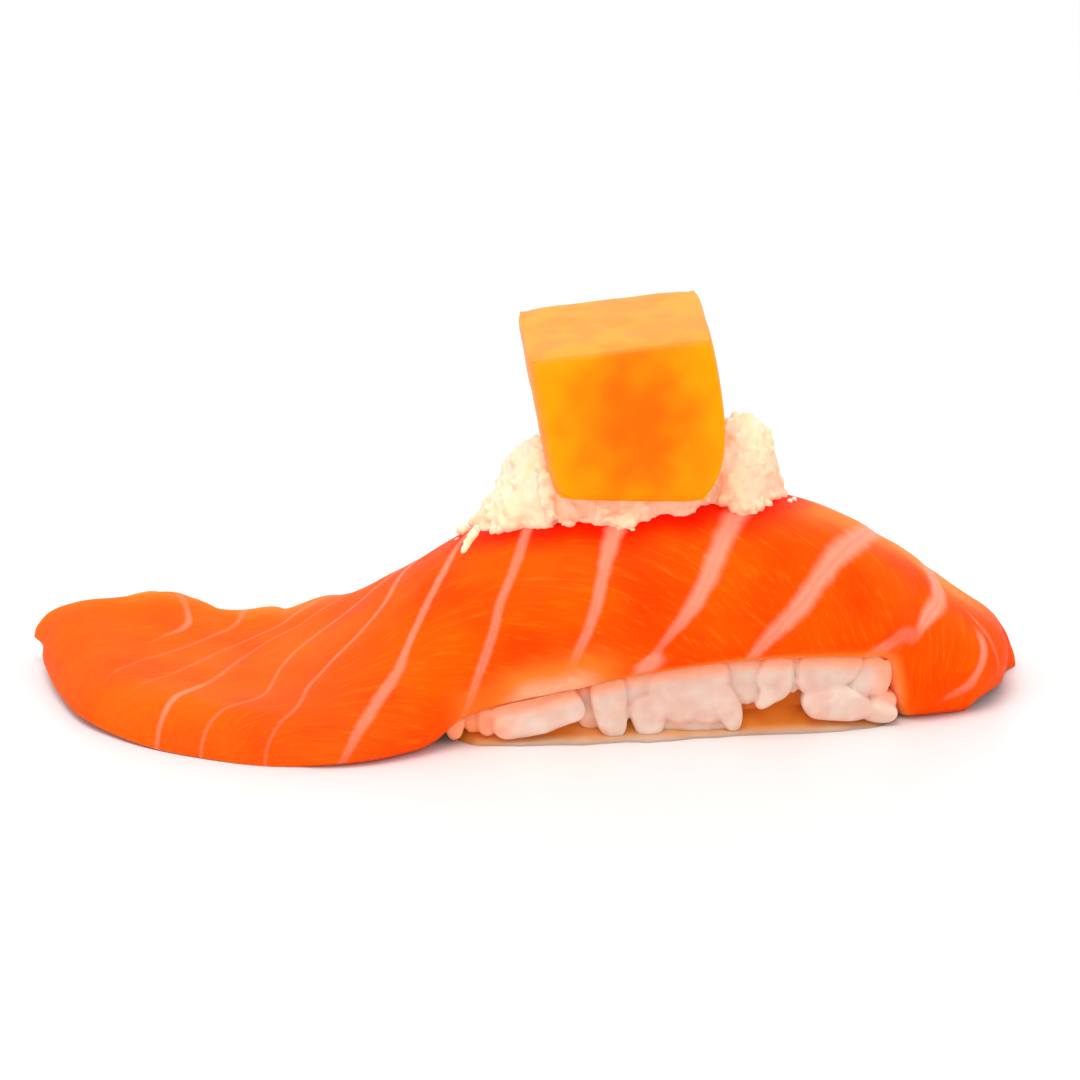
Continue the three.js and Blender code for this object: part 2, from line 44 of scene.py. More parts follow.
# Stations along the length, each with one value: the draped underside of the slice is lofted through them.
CROWN_HEIGHT = [
    (-48, 1.0), (-38, 0.15), (-29, 0.15), (-22, 1.9), (-14, 6.55), (-8, 10.5), (0, 15.2), (9, 17.0),
    (18, 16.5), (26, 14.3), (33, 10.6), (39, 6.0), (43.5, 2.7), (46.5, 0.7), (48.5, 0.1),
]
NEAR_HALF_WIDTH = [
    (-48, 17.6), (-26, 17.4), (-20, 16.4), (-16, 14.4), (-12.5, 12.2), (-8, 11.4), (0, 11.8),
    (10, 12.0), (30, 12.0), (34, 10.6), (38, 9.8), (43, 9.2), (48, 7),
]
FAR_HALF_WIDTH = [
    (-48, 21.5), (-34, 22.5), (-26, 18.4), (-18, 15.2), (-10, 12.9), (0, 12.0), (28, 11.8), (38, 11.4),
    (44, 9.6), (49, 6),
]
NEAR_RIM_HEIGHT = [
    (-48, 0), (-15, 0), (-12.6, 0.5), (-10, 2.3), (-6, 3.4), (0, 4.6), (10, 6.4), (21, 7.2), (30, 6.9),
    (32, 6.5), (32.9, 5.3), (33.4, 3.2), (33.9, 1.2), (34.5, 0.2), (38, 0), (48, 0),
]
FAR_RIM_HEIGHT = [
    (-48, 3.6), (-46, 4.3), (-41, 5.5), (-36.8, 6.3), (-35.8, 6.1), (-34.5, 4.7), (-32, 3.5),
    (-29.5, 3.1), (-28.6, 3.5), (-25.4, 3.5), (-23.4, 2.3), (-21.6, 2.9), (-19.4, 3.4), (-17.2, 2.7),
    (-14, 2.0), (-6, 4.0), (6, 6.4), (20, 7.2), (32, 6.6), (40, 4.2), (44, 1.6), (49, 0.2),
]
EDGE_THICKNESS = [(-48, 3.4), (-20, 3.6), (-12, 3.2), (-4, 2.6), (30, 2.6), (38, 3.2), (48, 3.6)]
# Where the slice ends, from its near edge (-1) over the crown (0) to its far edge (+1).
TAIL_END = [
    (-1, -25), (-0.6, -33.8), (-0.25, -42.2), (0.05, -46.9), (0.3, -48.2), (0.52, -48.6), (0.64, -48.3),
    (0.72, -48.7), (0.77, -49.2), (0.82, -48.9), (0.87, -47.4), (0.93, -45.4), (1, -44.0),
]
HEAD_END = [
    (-1, 41.4), (-0.6, 44.4), (-0.2, 46.6), (0.05, 47.4), (0.25, 48.4), (0.5, 49.6), (0.7, 48.4),
    (1, 45.0),
]
SLICE_THICKNESS = 4.6
SLICE_STEPS = (330, 126)  # along and across
SLICE_SOFTENING = dict(shape=6, normals=16)  # rounds of easing
# How far in from each edge the slice rounds off; the near edge rounds off wider along the tail.
NEAR_ROUND = [(-48, 7.0), (-18, 6.5), (-9, 2.4), (30, 2.0), (36, 4.5), (48, 5.0)]
FAR_ROUND = 2.4
TAIL_ROUND = [(-1, 5.5), (0.2, 5.5), (0.5, 5.0), (0.75, 7.0), (1, 6.5)]
HEAD_ROUND = [(-1, 5.0), (0, 5.0), (0.4, 7.0), (1, 5.0)]
TAPER_REACH = 9.0  # how far in the slice thins towards its near and far edges
FULLNESS = 0.92  # the power of the arch: below 1 it is fuller than an ellipse
# How the flesh bulges between two fat lines and how uneven it is, away from the slice's edges.
FLESH_SKIN = dict(
    bulge=0.12, line_sunk=0.6, bulge_reach=1.9, line_widths=(0.05, 0.5),
    uneven=0.16, uneven_size=6.0, from_edge=2.0,
)

# Where the flesh changes its tone: ranges in mm along the slice (start, full, end) or in from an edge
# (reach), how strongly (most), and how much of it there is outside the range (least).
SALMON_TONE = dict(
    over_rice=dict(start=(-13.5, -9.0), full=(-7.5, -2.5), end=(1.0, 9.0), reach=(0.3, 5.2), least=0.45),
    near_rim=dict(start=(-2.0, 5.0), end=(34.0, 36.5), reach=(0.1, 1.1), most=0.7),
    # The tail and head tones are a painted sheen: lighter flesh where the slice is seen at a glancing angle.
    tail=dict(end=(-26.0, -8.0), reach=(2.0, 10.0), least=0.15, most=0.95),
    head=dict(start=(12.0, 36.0), end=(40.0, 46.0), reach=(9.0, 16.0), most=0.9),
    # The cheese tone is a painted shade: deeper red flesh right beside the cheese.
    cheese=dict(reach=(0.4, 4.2), most=0.95),
)

# The fat lines, from the tail to the head: where each lies along the length, from the near edge (-1) to the
# far edge (+1), and its half width in mm at those places.
FAT_LINES = [
    dict(at=[(0, -46), (0.22, -39.5), (0.27, -36.4), (0.32, -34.6), (0.39, -34.2), (0.52, -34.8),
             (1, -36.5)],
         half=[(0.05, 0.0), (0.25, 0.12), (0.4, 0.3), (0.6, 0.22), (1, 0.2)]),
    dict(at=[(-0.1, -47), (0.03, -43), (0.1, -39.5), (0.14, -37), (0.18, -34.6), (0.32, -31.4),
             (0.37, -29.5), (0.44, -28.3), (0.67, -27.1), (1, -26)],
         half=[(-0.1, 0.0), (0.03, 0.14), (0.3, 0.17), (0.6, 0.22), (1, 0.2)]),
    dict(at=[(-0.3, -46), (-0.12, -41.5), (-0.08, -38), (0.0, -35.2), (0.15, -31.7), (0.27, -28.1),
             (0.36, -23.5), (1, -17)],
         half=[(-0.2, 0.0), (-0.1, 0.15), (0.2, 0.15), (0.5, 0.22), (1, 0.25)]),
    dict(at=[(-0.5, -41.5), (-0.34, -38.6), (-0.13, -33.3), (0.1, -29.4), (0.2, -26.4), (0.27, -23.2),
             (0.34, -20), (0.45, -17), (1, -12)],
         half=[(-0.6, 0.0), (-0.42, 0.2), (-0.28, 0.34), (-0.1, 0.2), (0.3, 0.16), (1, 0.3)]),
    dict(at=[(-1, -42), (-0.52, -35.4), (-0.46, -31.3), (-0.03, -24.4), (0.08, -21.8), (0.16, -18.5),
             (0.2, -15), (0.24, -11.9), (1, -7)],
         half=[(-0.9, 0.08), (-0.5, 0.2), (0.0, 0.2), (0.2, 0.24), (1, 0.35)]),
    dict(at=[(-1, -32), (-0.78, -29.1), (-0.71, -27.1), (-0.48, -24.2), (-0.25, -21.9), (-0.2, -19.2),
             (-0.13, -14.9), (0.0, -12.5), (0.2, -10.7), (1, -1)],
         half=[(-1, 0.16), (-0.6, 0.2), (-0.1, 0.26), (0.1, 0.3), (1, 0.4)]),
    dict(at=[(-1, -22.6), (-0.9, -21.4), (-0.73, -18.8), (-0.58, -16), (-0.46, -12.4), (-0.23, -9.1),
             (0.05, -5.6), (1, 6)],
         half=[(-1, 0.22), (-0.7, 0.36), (-0.3, 0.36), (-0.1, 0.4), (0.1, 0.3), (1, 0.4)]),
    dict(at=[(-1, -10.4), (-0.9, -9.1), (-0.81, -7.9), (-0.7, -6.3), (-0.61, -4.8), (-0.5, -3.8),
             (-0.39, -2.2), (-0.25, -1), (0.3, 3), (1, 12)],
         half=[(-1, 0.3), (-0.6, 0.34), (-0.3, 0.34), (0.3, 0.4), (1, 0.5)]),
    dict(at=[(-1, 0), (-0.97, 0.2), (-0.88, 0.9), (-0.78, 2.4), (-0.63, 4.3), (-0.5, 5.3), (-0.32, 6.7),
             (0.2, 11), (1, 19)],
         half=[(-1, 0.3), (-0.7, 0.38), (-0.5, 0.45), (-0.35, 0.62), (0.3, 0.8), (1, 0.7)]),
    dict(at=[(-1, 7.9), (-0.93, 8.6), (-0.86, 9.7), (-0.74, 12.4), (-0.61, 14.4), (-0.41, 16.4),
             (-0.25, 18), (0.1, 21.4), (0.5, 25), (1, 30)],
         half=[(-1, 0.5), (-0.94, 1.0), (-0.87, 0.25), (-0.74, 0.46), (-0.6, 0.66), (-0.4, 0.75),
               (-0.2, 0.8), (1, 0.7)]),
    dict(at=[(-1, 18.6), (-0.95, 19.1), (-0.88, 20.2), (-0.71, 23.4), (-0.48, 26.1), (-0.32, 27.9),
             (0.05, 31), (0.4, 34), (1, 37)],
         half=[(-1, 0.4), (-0.88, 0.46), (-0.7, 0.64), (-0.5, 0.76), (-0.3, 0.95), (0.05, 0.9),
               (0.5, 0.7), (1, 0.6)]),
    dict(at=[(-1, 30.3), (-0.96, 30.7), (-0.9, 31.3), (-0.83, 32), (-0.71, 32.9), (-0.55, 34.1),
             (-0.46, 35.2), (-0.39, 36), (-0.32, 36.5), (-0.2, 36.9), (-0.1, 37), (0.1, 37.2),
             (0.4, 38), (1, 39.4)],
         half=[(-1, 0.4), (-0.9, 0.34), (-0.83, 0.24), (-0.61, 0.24), (-0.5, 0.5), (-0.4, 0.75),
               (-0.08, 0.85), (0.3, 0.7), (1, 0.4)]),
    dict(at=[(-1, 36), (-0.92, 37.3), (-0.86, 38.6), (-0.83, 39.9), (-0.77, 40.9), (-0.68, 41.5),
             (-0.6, 41.7), (-0.52, 41.6), (-0.44, 41.2), (-0.36, 40.5), (-0.28, 39.6), (-0.2, 38.8),
             (0, 38.6), (0.3, 39.6), (1, 41.4)],
         half=[(-0.92, 0.0), (-0.85, 0.2), (-0.7, 0.34), (-0.5, 0.4), (-0.4, 0.22), (-0.32, 0.0),
               (1, 0.0)]),
    dict(at=[(-1, 47), (-0.6, 44.6), (-0.52, 43.5), (-0.44, 42.2), (-0.32, 41.1), (-0.25, 40.2),
             (-0.2, 39.5), (-0.1, 39.4), (0.1, 40.2), (0.4, 41.6), (1, 44)],
         half=[(-0.62, 0.0), (-0.5, 0.2), (-0.3, 0.22), (-0.18, 0.12), (-0.1, 0.0), (0.3, 0.0),
               (0.5, 0.14), (1, 0.2)]),
]
FAT_SMOOTHING = 20  # rounds of easing along each line
LINE_REACH = 3.8  # twice as far from a line as the finish still measures, in mm
PAST_LINES = 12.0  # how far off a line is taken to be before the first and after the last, in mm
# How far the muscle fibres turn down towards the near edge, in degrees, between each two fat lines.
FIBRE_TURNS = [-4, -6, -8, -8, -10, -12, -6, 4, 18, 28, 33, 45, 80, 85, 60]

UNDERSIDE_DEPTH = 9.0  # moves the fibre pattern on, so that the underside has its own

FAR_ABOVE = 99.0  # stands for a height where nothing lies over a place
CLEAR_OF_TABLE = 0.03  # how far undersides stay off the table, in mm
# How tops roll over the slice's edges: shares of its thickness, and directions round.
ROLLED_SHARES = (0.25, 0.5, 0.7, 0.85, 0.95)
ROLLED_TURNS = 16

# The rice: a pressed loaf whose wall is a squared-up ball, with grains over it.
LOAF = dict(middle=12.0, half_length=24.3, half_width=11.4, height=17.8, squareness=2.8)
# The core under the grains: how far it lies behind the loaf's wall, how much squarer its foot is, and how
# the sticky foot spreads out at the front, thinning out over a height and again below the table.
CORE = dict(
    steps=(60, 120), behind_ends=2.4, behind_wall=1.5, squarer=4, squarer_below=(0.05, 0.2),
    uneven=0.55, uneven_size=2.2, spread=5.2, spread_uneven=0.4, spread_size=6.0,
    spread_from=(-4.0, -6.0), spread_height=2.0, spread_power=2.2, spread_below=4.0,
)
# A loose grain: sizes in mm and the shares that they vary between, and how blunt, bent, flat and uneven.
GRAIN = dict(
    length=6.6, lengths=(0.82, 1.12), thickness=3.1, thicknesses=(0.85, 1.12), steps=(5, 8),
    bluntness=2.6, fuller=0.2, bend=0.14, flat=(0.72, 0.95), uneven=0.09, uneven_size=1.5,
)
# Rows of grains round the wall: height, how far behind the wall, spacing, and how far on the row begins.
WALL_ROWS = [
    (1.4, 0.0, 5.4, 0.0), (3.9, 0.0, 5.4, 2.7), (6.4, 0.2, 5.4, 1.2),
    (1.9, 2.0, 4.6, 1.0), (4.6, 2.0, 4.6, 3.0), (7.2, 2.0, 4.6, 0.5),
]
# How each of them varies: its angle round the wall, its tip and turn, how far it stands out, and its lift.
WALL_VARIES = dict(angle=0.02, tip=0.9, turn=0.45, stand=(-0.1, 0.7), lift=(-0.4, 0.5))
# Grains over the foot: from, to and spacing along and across, how far each shifts, the share of the loaf's
# outline that they stay inside, and their heights and tip.
FOOT = dict(
    along=(-10.5, 35, 4.6), across=(-8.8, 9, 3.4), shift=(1.0, 0.8), inside=0.8, heights=(0.9, 1.4), tip=0.1,
)
# Fewer grains lie behind the front ones. Nearer the front than wall, only rows deeper than inner go on, and
# those no higher than low stop at x. Nearer the front than foot, the grains over the foot stop at x as well.
BEHIND_FRONT = dict(wall=-7.5, foot=-7.0, inner=1.0, low=3.0, x=15.0)
ROOM_UNDER_SLICE = 0.6  # how far below the slice the middle of a loose grain stays
# How grains press against the table and the slice: easing, and how near they come under it and past its rim.
PRESSED = dict(ease=0.3, under_slice=0.1, past_rim=0.45)

# The grains that show under the near edge of the slice, from left to right: how far each stands out of the
# wall of the loaf, and its outline seen from the front, as places along and heights.
FRONT_GRAINS = [
    dict(stand=0.9, outline=[
        (-11.4, 3.3), (-10.7, 3.7), (-9.8, 3.5), (-9.2, 2.7), (-9.3, 1.5), (-9.8, 0.5), (-10.8, 0.4),
        (-11.4, 1.3)]),
    dict(stand=0.1, outline=[
        (-9.6, 3.5), (-8.6, 4.0), (-7.2, 3.8), (-7.0, 2.4), (-7.6, 0.9), (-9.2, 0.8)]),
    dict(stand=0.6, outline=[
        (-8.2, 2.8), (-7.2, 3.7), (-6.2, 3.0), (-5.9, 1.8), (-6.2, 0.7), (-7.4, 0.6), (-8.1, 1.2)]),
    dict(stand=1.1, outline=[
        (-7.2, 2.2), (-6.4, 3.8), (-3.4, 4.7), (-1.2, 5.5), (0.4, 6.0), (1.8, 5.6), (1.6, 3.7),
        (-0.8, 2.6), (-3.7, 1.7)]),
    dict(stand=1.5, outline=[
        (-6.7, 2.5), (-5.6, 2.7), (-3.9, 3.0), (-2.6, 3.3), (-1.4, 3.9), (-0.1, 4.5), (1.3, 4.8),
        (2.3, 4.1), (2.7, 3.2), (2.4, 2.2), (1.2, 1.9), (-0.3, 1.2), (-1.9, 0.9), (-3.9, 0.4),
        (-5.5, 0.4), (-6.4, 0.9), (-6.8, 1.6)]),
    dict(stand=0.1, outline=[
        (1.3, 4.8), (3.3, 5.0), (4.3, 3.7), (4.3, 0.9), (3.1, 0.4), (2.0, 1.1), (1.3, 3.1)]),
    dict(stand=1.3, outline=[
        (2.9, 4.6), (3.4, 6.0), (4.9, 6.6), (6.3, 6.2), (6.7, 4.4), (6.7, 2.5), (6.7, 0.9), (6.2, 0.0),
        (4.9, -0.1), (4.1, 0.5), (3.6, 1.8), (3.2, 3.3)]),
    dict(stand=0.6, outline=[(6.0, 6.0), (7.6, 6.6), (9.6, 6.8), (9.6, 3.7), (7.8, 3.4), (6.3, 2.8)]),
    dict(stand=1.2, outline=[
        (6.9, 3.1), (7.3, 4.0), (8.4, 4.4), (9.7, 4.4), (10.5, 3.8), (10.6, 2.2), (10.4, 0.5),
        (9.7, -0.1), (8.3, -0.2), (7.7, 0.3), (7.3, 1.3), (6.9, 2.3)]),
    dict(stand=1.1, outline=[
        (8.5, 4.4), (8.9, 6.2), (10.6, 6.9), (12.1, 7.2), (14.0, 7.4), (15.8, 7.4), (16.9, 6.8),
        (17.0, 4.4), (17.1, 2.8), (16.8, 1.3), (15.6, 1.0), (14.0, 1.2), (12.2, 1.3), (10.9, 1.4),
        (9.7, 2.1), (8.7, 3.2)]),
    dict(stand=1.3, outline=[
        (15.2, 5.2), (16.5, 5.4), (17.4, 4.2), (18.0, 3.0), (18.3, 1.7), (18.0, 0.3), (17.4, 0.1),
        (16.6, 0.4), (15.7, 1.7), (14.9, 3.4)]),
    dict(stand=0.6, outline=[
        (10.2, 1.7), (13.1, 1.3), (15.6, 1.1), (16.9, 0.7), (16.7, -0.2), (14.1, -0.2), (12.1, -0.1),
        (10.2, 0.1)]),
    dict(stand=0.4, outline=[
        (16.2, 7.2), (18.3, 7.7), (20.3, 7.6), (20.3, 4.8), (19.7, 2.9), (18.7, 2.3), (17.9, 3.0),
        (17.1, 4.2), (16.3, 5.2)]),
    dict(stand=1.0, outline=[
        (19.5, 5.7), (20.2, 7.2), (22.0, 7.8), (23.2, 7.6), (23.4, 5.6), (23.2, 4.1), (22.4, 3.2),
        (21.5, 2.9), (20.8, 2.4), (20.0, 2.1), (19.4, 2.5), (19.7, 3.5), (20.0, 4.3), (19.5, 4.9)]),
    dict(stand=0.4, outline=[
        (22.7, 7.5), (23.9, 7.8), (24.3, 5.4), (23.9, 3.8), (23.1, 3.4), (22.5, 4.7)]),
    dict(stand=1.1, outline=[
        (23.5, 5.6), (24.0, 7.3), (25.9, 7.9), (28.1, 7.9), (30.0, 7.4), (30.3, 6.1), (29.3, 5.0),
        (28.6, 4.4), (27.7, 4.0), (26.0, 3.6), (24.5, 3.6), (23.6, 4.2)]),
    dict(stand=1.4, outline=[
        (24.4, 4.0), (25.7, 4.2), (27.0, 4.5), (28.5, 4.4), (29.7, 3.8), (30.7, 3.0), (31.3, 2.0),
        (31.0, 1.1), (29.9, 0.7), (28.2, 0.7), (26.4, 0.8), (24.9, 1.2), (24.2, 2.1), (24.0, 3.1)]),
    dict(stand=0.7, outline=[
        (28.7, 4.1), (29.6, 5.6), (30.6, 7.2), (32.4, 7.0), (33.3, 5.6), (33.1, 3.9), (32.4, 2.9),
        (31.1, 3.0), (29.8, 3.4)]),
    dict(stand=1.1, outline=[
        (30.2, 2.2), (31.5, 2.7), (32.8, 2.5), (33.7, 1.8), (33.9, 1.2), (33.4, 0.4), (32.2, 0.2),
        (30.8, 0.4), (30.1, 1.1)]),
    dict(stand=0.4, outline=[
        (30.8, 3.1), (32.4, 3.4), (33.7, 3.0), (33.9, 1.7), (32.4, 1.4), (31.0, 1.9)]),
]
# How thick the front grains are before and behind their outlines, and how blunt.
FRONT_GRAIN = dict(
    front=0.9, back=1.8, bluntness=4.5, steps=(21, 48),
    uneven=0.2, uneven_size=1.5, uneven_ways=(0.3, 1.0, 0.3),
)
HEAD_CORNER = 32.4  # where the near rim turns down to the table
TUCKED_IN = dict(lift=0.4, below_rim=(-1.8, -0.2))  # how far grains just under the rim reach up behind it
# Where the rice changes its tone: ranges in mm behind the wall, across, up from the near rim, along and up.
# All of these rice tones are painted light: a warm painted shade behind the wall, at the foot and in the
# grooves, and an orange painted bounce from the slice under its rim and by its tail and head.
RICE_TONE = dict(
    behind_wall=(-0.2, 1.4), foot_out=(-14.8, -12.2), grooves=(-12.9, -11.6), grooves_deep=0.55,
    under_rim=(-1.5, 0.5), by_tail=(-8.5, -3.0), tail_tinged=0.95,
    by_head=(30.0, 33.5), head_height=(1.5, 3.5), head_tinged=0.8, foot_tinged=0.25, foot_least=0.05,
)
# How the front grains run into each other: lattice size in mm, and rounds of smoothing.
GRAINS_FUSED = dict(size=0.17, rounds=2)

CHEESE_EDGE = [
    (-6.0, 5.2), (-5.7, 2.3), (-4.7, -1.7), (-3.4, -2.8), (-1.9, -2.9), (-0.3, -5.2), (1.2, -5.5),
    (3.1, -5.5), (4.6, -6.9), (6.2, -6.7), (7.7, -7.8), (9.7, -7.1), (11.2, -6.2), (13.4, -6.6),
    (15.2, -5.0), (16.9, -3.2), (18.0, -4.9), (18.9, -5.6), (20.5, -4.6), (22.0, -3.0), (24.3, 0.9),
    (25.4, 3.4), (24.4, 6.4), (21.0, 8.8), (16.0, 10.2), (9.5, 10.6), (3.0, 9.8), (-2.5, 8.0),
]
# Height of the cheese over the slice along its crest, which lies a little behind the middle.
CHEESE_CREST = [
    (-7.5, 0.8), (-6.6, 1.7), (-4.5, 2.9), (-3.1, 4.2), (-2.2, 6.1), (0, 6.9), (3, 6), (14, 5),
    (18.5, 6.6), (20, 7.5), (21.4, 7.9), (23.1, 6.6), (24.2, 4.6), (25.3, 2.2), (26, 0.8),
]
CHEESE_CREST_AT = 2.8  # how far back the crest lies
CHEESE_CREST_WIDTH = [(-8, 4.6), (-2, 6.8), (1, 6.8), (4, 4.6), (18, 4.6), (21, 5.6), (26, 4.6)]
CHEESE_FRONT = 2.4  # its height towards the front
CHEESE_RIM = 1.5  # how far in its edge rounds off
CHEESE_MIDDLE = np.array([9.5, 2.0])
CHEESE_SINKS = dict(crumbs=0.3, body=0.3, underneath=0.8)  # how far it goes into the slice
CRUMB_SINKS = 0.4  # how far a crumb goes into the mound, as a share of its radius
CHEESE_SCALLOPS = [(0.45, 1.15, 53), (0.25, 2.8, 54)]  # depth and size of the bites out of its outline, seed
CHEESE_ROUGH = [(0.3, 2.6, 29), (0.2, 0.8, 31)]  # height and size of its roughness, seed
# Where the cheese gets a painted warm shade: close over the slice, and further up at the right end.
CHEESE_TONE = dict(
    low=(0.0, 2.6), painted_shade_most=0.85, right=(16.5, 18.5), painted_shade_right=(3.0, 5.6), right_most=0.9, crumbs=0.1,
)
MOUND_STEPS = (240, 60)  # round it, and from the middle out
MOUND_SHARES = (0.01, 1.12)  # of the way from the middle to the outline
# Crumbs all over the mound and in a row along its edge: spacing and radii.
CRUMB_SPREAD = dict(pitch=1.5, radii=(0.3, 0.52), edge_pitch=0.62, edge_radii=(0.22, 0.5))
LUMP = dict(steps=(9, 14), uneven=0.4, uneven_size=0.9)
# Lumps that fill the corner by the cube's left foot: place, height over the slice and radius.
CHEESE_FILLING = [
    (0.4, -4.9, 0.9, 0.9), (0.2, -4.6, 2.2, 0.9), (0.1, -4.4, 3.4, 0.9), (0, -4.2, 4.5, 0.9),
    (-0.2, -3.7, 5.4, 0.8),
]
# Loose crumbs on the slice beside the mound: place and radius.
LOOSE_CRUMBS = [
    (-5.9, 2.2, 0.42), (-6.3, 1.3, 0.5), (-6.7, 0.6, 0.55), (-7.1, -0.2, 0.55), (-7.5, -0.9, 0.45),
    (-7.8, -1.5, 0.35), (25.9, 1.6, 0.35), (25.2, 0.2, 0.3), (-6.9, 6.0, 0.5),
]
# How lumps of cheese run into each other: lattice size in mm, and rounds of smoothing.
CHEESE_FUSED = dict(size=0.21, rounds=1)
CRUMBS_FUSED = dict(size=0.16, rounds=2)

# The cube: its foot and head are given as left, right, height at the left and height at the right.
MANGO = dict(
    middle=(8.1, -0.9), turn=np.radians(-4.0), depth=15.2, steps=48,
    foot=(-7.2, 7.8, 22.7, 22.2), head=(-10.1, 8.2, 37.4, 39.3), back_rise=1.25,
    belly_left=0.1, belly_right=1.55, belly_low=0.6, edge_round=0.4, edge_sharpness=9, corner_most=1.8,
    uneven=0.10, uneven_size=3.0,
)
# Where the fruit is yellow, by distance from the middle of a face, and where its top and left faces get a
# painted sheen.
MANGO_TONE = dict(middle_right=0.02, upwards=0.55, reach=1.1, face=(0.9, 1.0), left=0.8)
FOOT_INSIDE = [(2.1, 14.1), (-7.0, 5.0)]  # along and back, where the cube's foot is sure to lie
BESIDE_FOOT = 0.3  # how far outside its foot the cube still counts as lying over a place
CHEESE_IN_CUBE = 0.6  # how far the cheese runs into the cube where they touch
# The bed of cheese under the cube: how far in from the outline it starts, how far above the cube's underside
# it lies, and how deep and how far out it falls away beside it.
CUBE_BED = dict(inside=1.0, above=0.5, fall=1.6, from_foot=(0.2, 2.0))

# ---- number work ---------------------------------------------------------------------------------


def through(stations, x):
    """A smooth monotone curve through (place, value) stations, level beyond them: cubic pieces with
    harmonic-mean tangents."""
    px, py = np.array(stations, float).T
    h = np.diff(px)
    d = np.diff(py) / h
    before, after = d[:-1], d[1:]
    rising = before * after > 0
    w1 = 2 * h[1:] + h[:-1]
    w2 = h[1:] + 2 * h[:-1]
    inner = (w1 + w2) / (w1 / np.where(rising, before, 1) + w2 / np.where(rising, after, 1))
    m = np.concatenate([d[:1], np.where(rising, inner, 0), d[-1:]])
    x = np.clip(x, px[0], px[-1])
    i = np.clip(np.searchsorted(px, x) - 1, 0, len(h) - 1)
    t = (x - px[i]) / h[i]
    rise = (1 + 2 * t) * (1 - t) ** 2 * py[i] + t * t * (3 - 2 * t) * py[i + 1]
    return rise + t * (1 - t) * h[i] * ((1 - t) * m[i] - t * m[i + 1])


def smooth_step(low, high, x):
    """0 at low and before it, 1 at high and after it, and 3tt - 2ttt between them."""
    t = np.clip((x - low) / (high - low), 0, 1)
    return t * t * (3 - 2 * t)


def fade(low, high, x):
    """1 at low and before it, 0 at high and after it."""
    return 1 - smooth_step(low, high, x)


def soften(points, passes, axes=(0, 1)):
    """Each inner point of a grid moves halfway to the mean of its neighbours, along each axis in turn."""
    for _ in range(passes):
        for axis in axes:
            across = np.moveaxis(points, axis, 0).copy()
            across[1:-1] = 0.25 * across[:-2] + 0.5 * across[1:-1] + 0.25 * across[2:]
            points = np.moveaxis(across, 0, axis)
    return points


def unit(vectors):
    """Vectors brought to length 1."""
    return vectors / np.maximum(np.linalg.norm(vectors, axis=-1, keepdims=True), 1e-9)


def relief(points, size, seed, octaves=1):
    """Smooth noise, about -1 to 1: random values on a lattice of that size, blended between its corners."""
    table = np.random.default_rng(seed).uniform(-1, 1, (32, 32, 32))
    total = np.zeros(points.shape[:-1])
    for octave in range(octaves):
        at = points / size * 2 ** octave + 7.3 * octave
        low = np.floor(at).astype(int)
        part = at - low
        part = part * part * (3 - 2 * part)
        for corner in np.ndindex(2, 2, 2):
            index = (low + corner) % 32
            share = np.where(np.array(corner) == 1, part, 1 - part).prod(axis=-1)
            total += share * table[index[..., 0], index[..., 1], index[..., 2]] / 2 ** octave
    return total


def way_along(points):
    """How far it is along a line of points to each of them."""
    return np.concatenate([[0], np.cumsum(np.linalg.norm(np.diff(points, axis=0), axis=-1))])


def on_ring(closed, way, at):
    """The places (x, y) that lie that far along a closed ring of points."""
    return np.stack([np.interp(at, way, closed[:, k], period=way[-1]) for k in (0, 1)], -1)


def closed_ring(corners):
    """A ring's corners, with the first one again at its end, and how far it is along the ring to each."""
    closed = np.array([*corners, corners[0]], float)
    return closed, way_along(closed)


# ---- meshes --------------------------------------------------------------------------------------


def make_piece(name, points, faces, material, node, slot, **values):
    """A smooth mesh of those corners (mm, drawing frame) and faces, with values per corner as attributes."""
    mesh = bpy.data.meshes.new(name)
    placed = (points - CENTRE) * MM
    mesh.vertices.add(len(placed))
    mesh.vertices.foreach_set("co", placed.astype(np.float32).ravel())
    mesh.loops.add(faces.size)
    mesh.loops.foreach_set("vertex_index", faces.astype(np.int32).ravel())
    mesh.polygons.add(len(faces))
    mesh.polygons.foreach_set("loop_start", np.arange(0, faces.size, faces.shape[1], dtype=np.int32))
    mesh.update(calc_edges=True)
    mesh.shade_smooth()
    mesh.set_sharp_from_angle(angle=np.radians(SHARP_FROM))
    for key, value in values.items():
        kind, field = ("FLOAT", "value") if value.ndim == 1 else ("FLOAT_VECTOR", "vector")
        layer = mesh.attributes.new(key, kind, "POINT")
        layer.data.foreach_set(field, value.astype(np.float32).ravel())
    mesh.materials.append(material)
    piece = bpy.data.objects.new(name, mesh)
    bpy.context.scene.collection.objects.link(piece)
    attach(piece, "root")
    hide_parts(node)


def two_sheets(upper, lower):
    """One closed skin of two grids that share their outer ring, each diagonal running out to a corner."""
    rows, columns = upper.shape[:2]
    up = np.arange(rows * columns).reshape(rows, columns)
    down = up.copy()
    down[1:-1, 1:-1] = up.size + np.arange((rows - 2) * (columns - 2)).reshape(rows - 2, columns - 2)
    i, j = np.indices((rows - 1, columns - 1))
    rising = ((i < (rows - 1) / 2) == (j < (columns - 1) / 2))[..., None]
    faces = []
    for sheet, order in ((up, slice(None)), (down, slice(None, None, -1))):
        a, b, c, d = sheet[:-1, :-1], sheet[1:, :-1], sheet[1:, 1:], sheet[:-1, 1:]
        first = np.where(rising, np.stack([a, b, c], -1), np.stack([a, b, d], -1))
        second = np.where(rising, np.stack([a, c, d], -1), np.stack([b, c, d], -1))
        faces += [first.reshape(-1, 3)[:, order], second.reshape(-1, 3)[:, order]]
    points = np.concatenate([upper.reshape(-1, 3), lower[1:-1, 1:-1].reshape(-1, 3)])
    return points, np.concatenate(faces)


